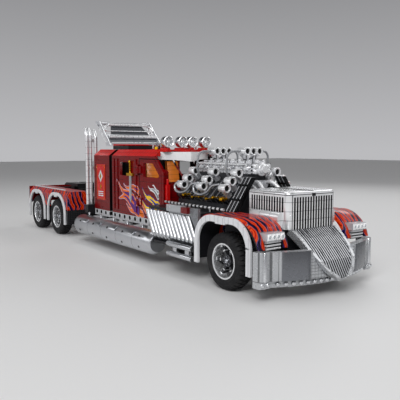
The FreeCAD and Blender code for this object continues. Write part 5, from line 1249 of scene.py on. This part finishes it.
def light(name, kind, place, target, power):
    """Add a light that faces a target."""
    data = bpy.data.lights.new(name, kind)
    data.energy = power
    obj = add_object(name, data)
    obj.location = place
    obj.rotation_euler = (Vector(target) - Vector(place)).to_track_quat("-Z", "Y").to_euler()
    return data


def make_lights():
    """Broad daylight, soft studio lights round the truck, and a small lamp over the seats."""
    light("daylight", "SUN", (0.5, -0.6, 1.0), (0, 0, 0), 0.9).angle = math.radians(35)
    for name, place, target, size, power in (
            ("key", (1.0, -1.0, 0.9), (0, 0, 0.08), (0.7, 0.4), 9.0),
            ("fill", (-0.6, -1.3, 0.7), (0, 0, 0.08), (1.2, 0.5), 3.5),
            ("top", (0.0, 0.0, 1.5), (0, 0, 0.0), (1.6, 0.35), 4.0),
            ("left", (0.72, 1.1, 0.98), (0.33, 0, 0.05), (1.3, 0.7), 4.0),
            ("seats", P(-193.0, 0.0, 134.0), P(-245.0, 0.0, 100.0), (0.05, 0.01), 0.03),
            ("rear", (-0.6, 1.2, 0.9), (0, 0, 0.1), (0.9, 0.4), 4.0)):
        data = light(name, "AREA", place, target, power)
        data.shape = "RECTANGLE"
        data.size, data.size_y = size


CAMERA_YAW, CAMERA_ELEVATION, CAMERA_LENS = 54.5, 5.3, 49.39  # two angles in degrees, and millimetres
CAMERA_PLACE = (457.73, -436.94, 151.18)


def make_camera():
    """Camera at the photograph's angle, from in front on the right side."""
    yaw, pitch = math.radians(CAMERA_YAW), math.radians(CAMERA_ELEVATION)
    data = bpy.data.cameras.new("camera")
    data.sensor_width = 36.0
    data.lens = CAMERA_LENS
    data.clip_start = 0.01
    camera = add_object("camera", data)
    camera.location = P(*CAMERA_PLACE)
    way = Vector((-math.sin(yaw) * math.cos(pitch), math.cos(yaw) * math.cos(pitch), -math.sin(pitch)))
    camera.rotation_euler = way.to_track_quat("-Z", "Y").to_euler()
    bpy.context.scene.camera = camera


def main():
    make_camera()
    make_world()
    make_lights()
    make_floor()
    make_materials()
    dress_nodes()
    for place in WHEEL_PLACES:
        make_tyre(place)
        make_nuts(place)
    for make in (make_bumper_domes, make_bumper_columns, make_lamp_lenses, make_shell_strip,
                 make_roof_reflectors, make_wing_tubes, make_banners, make_corner_posts,
                 make_tank_pegs, make_tank_studs, make_deck_strips, make_mouths,
                 make_blower_details, make_front_cluster, make_gold_fittings, make_loops):
        make()
    bpy.context.scene.view_settings.view_transform = "Standard"


main()
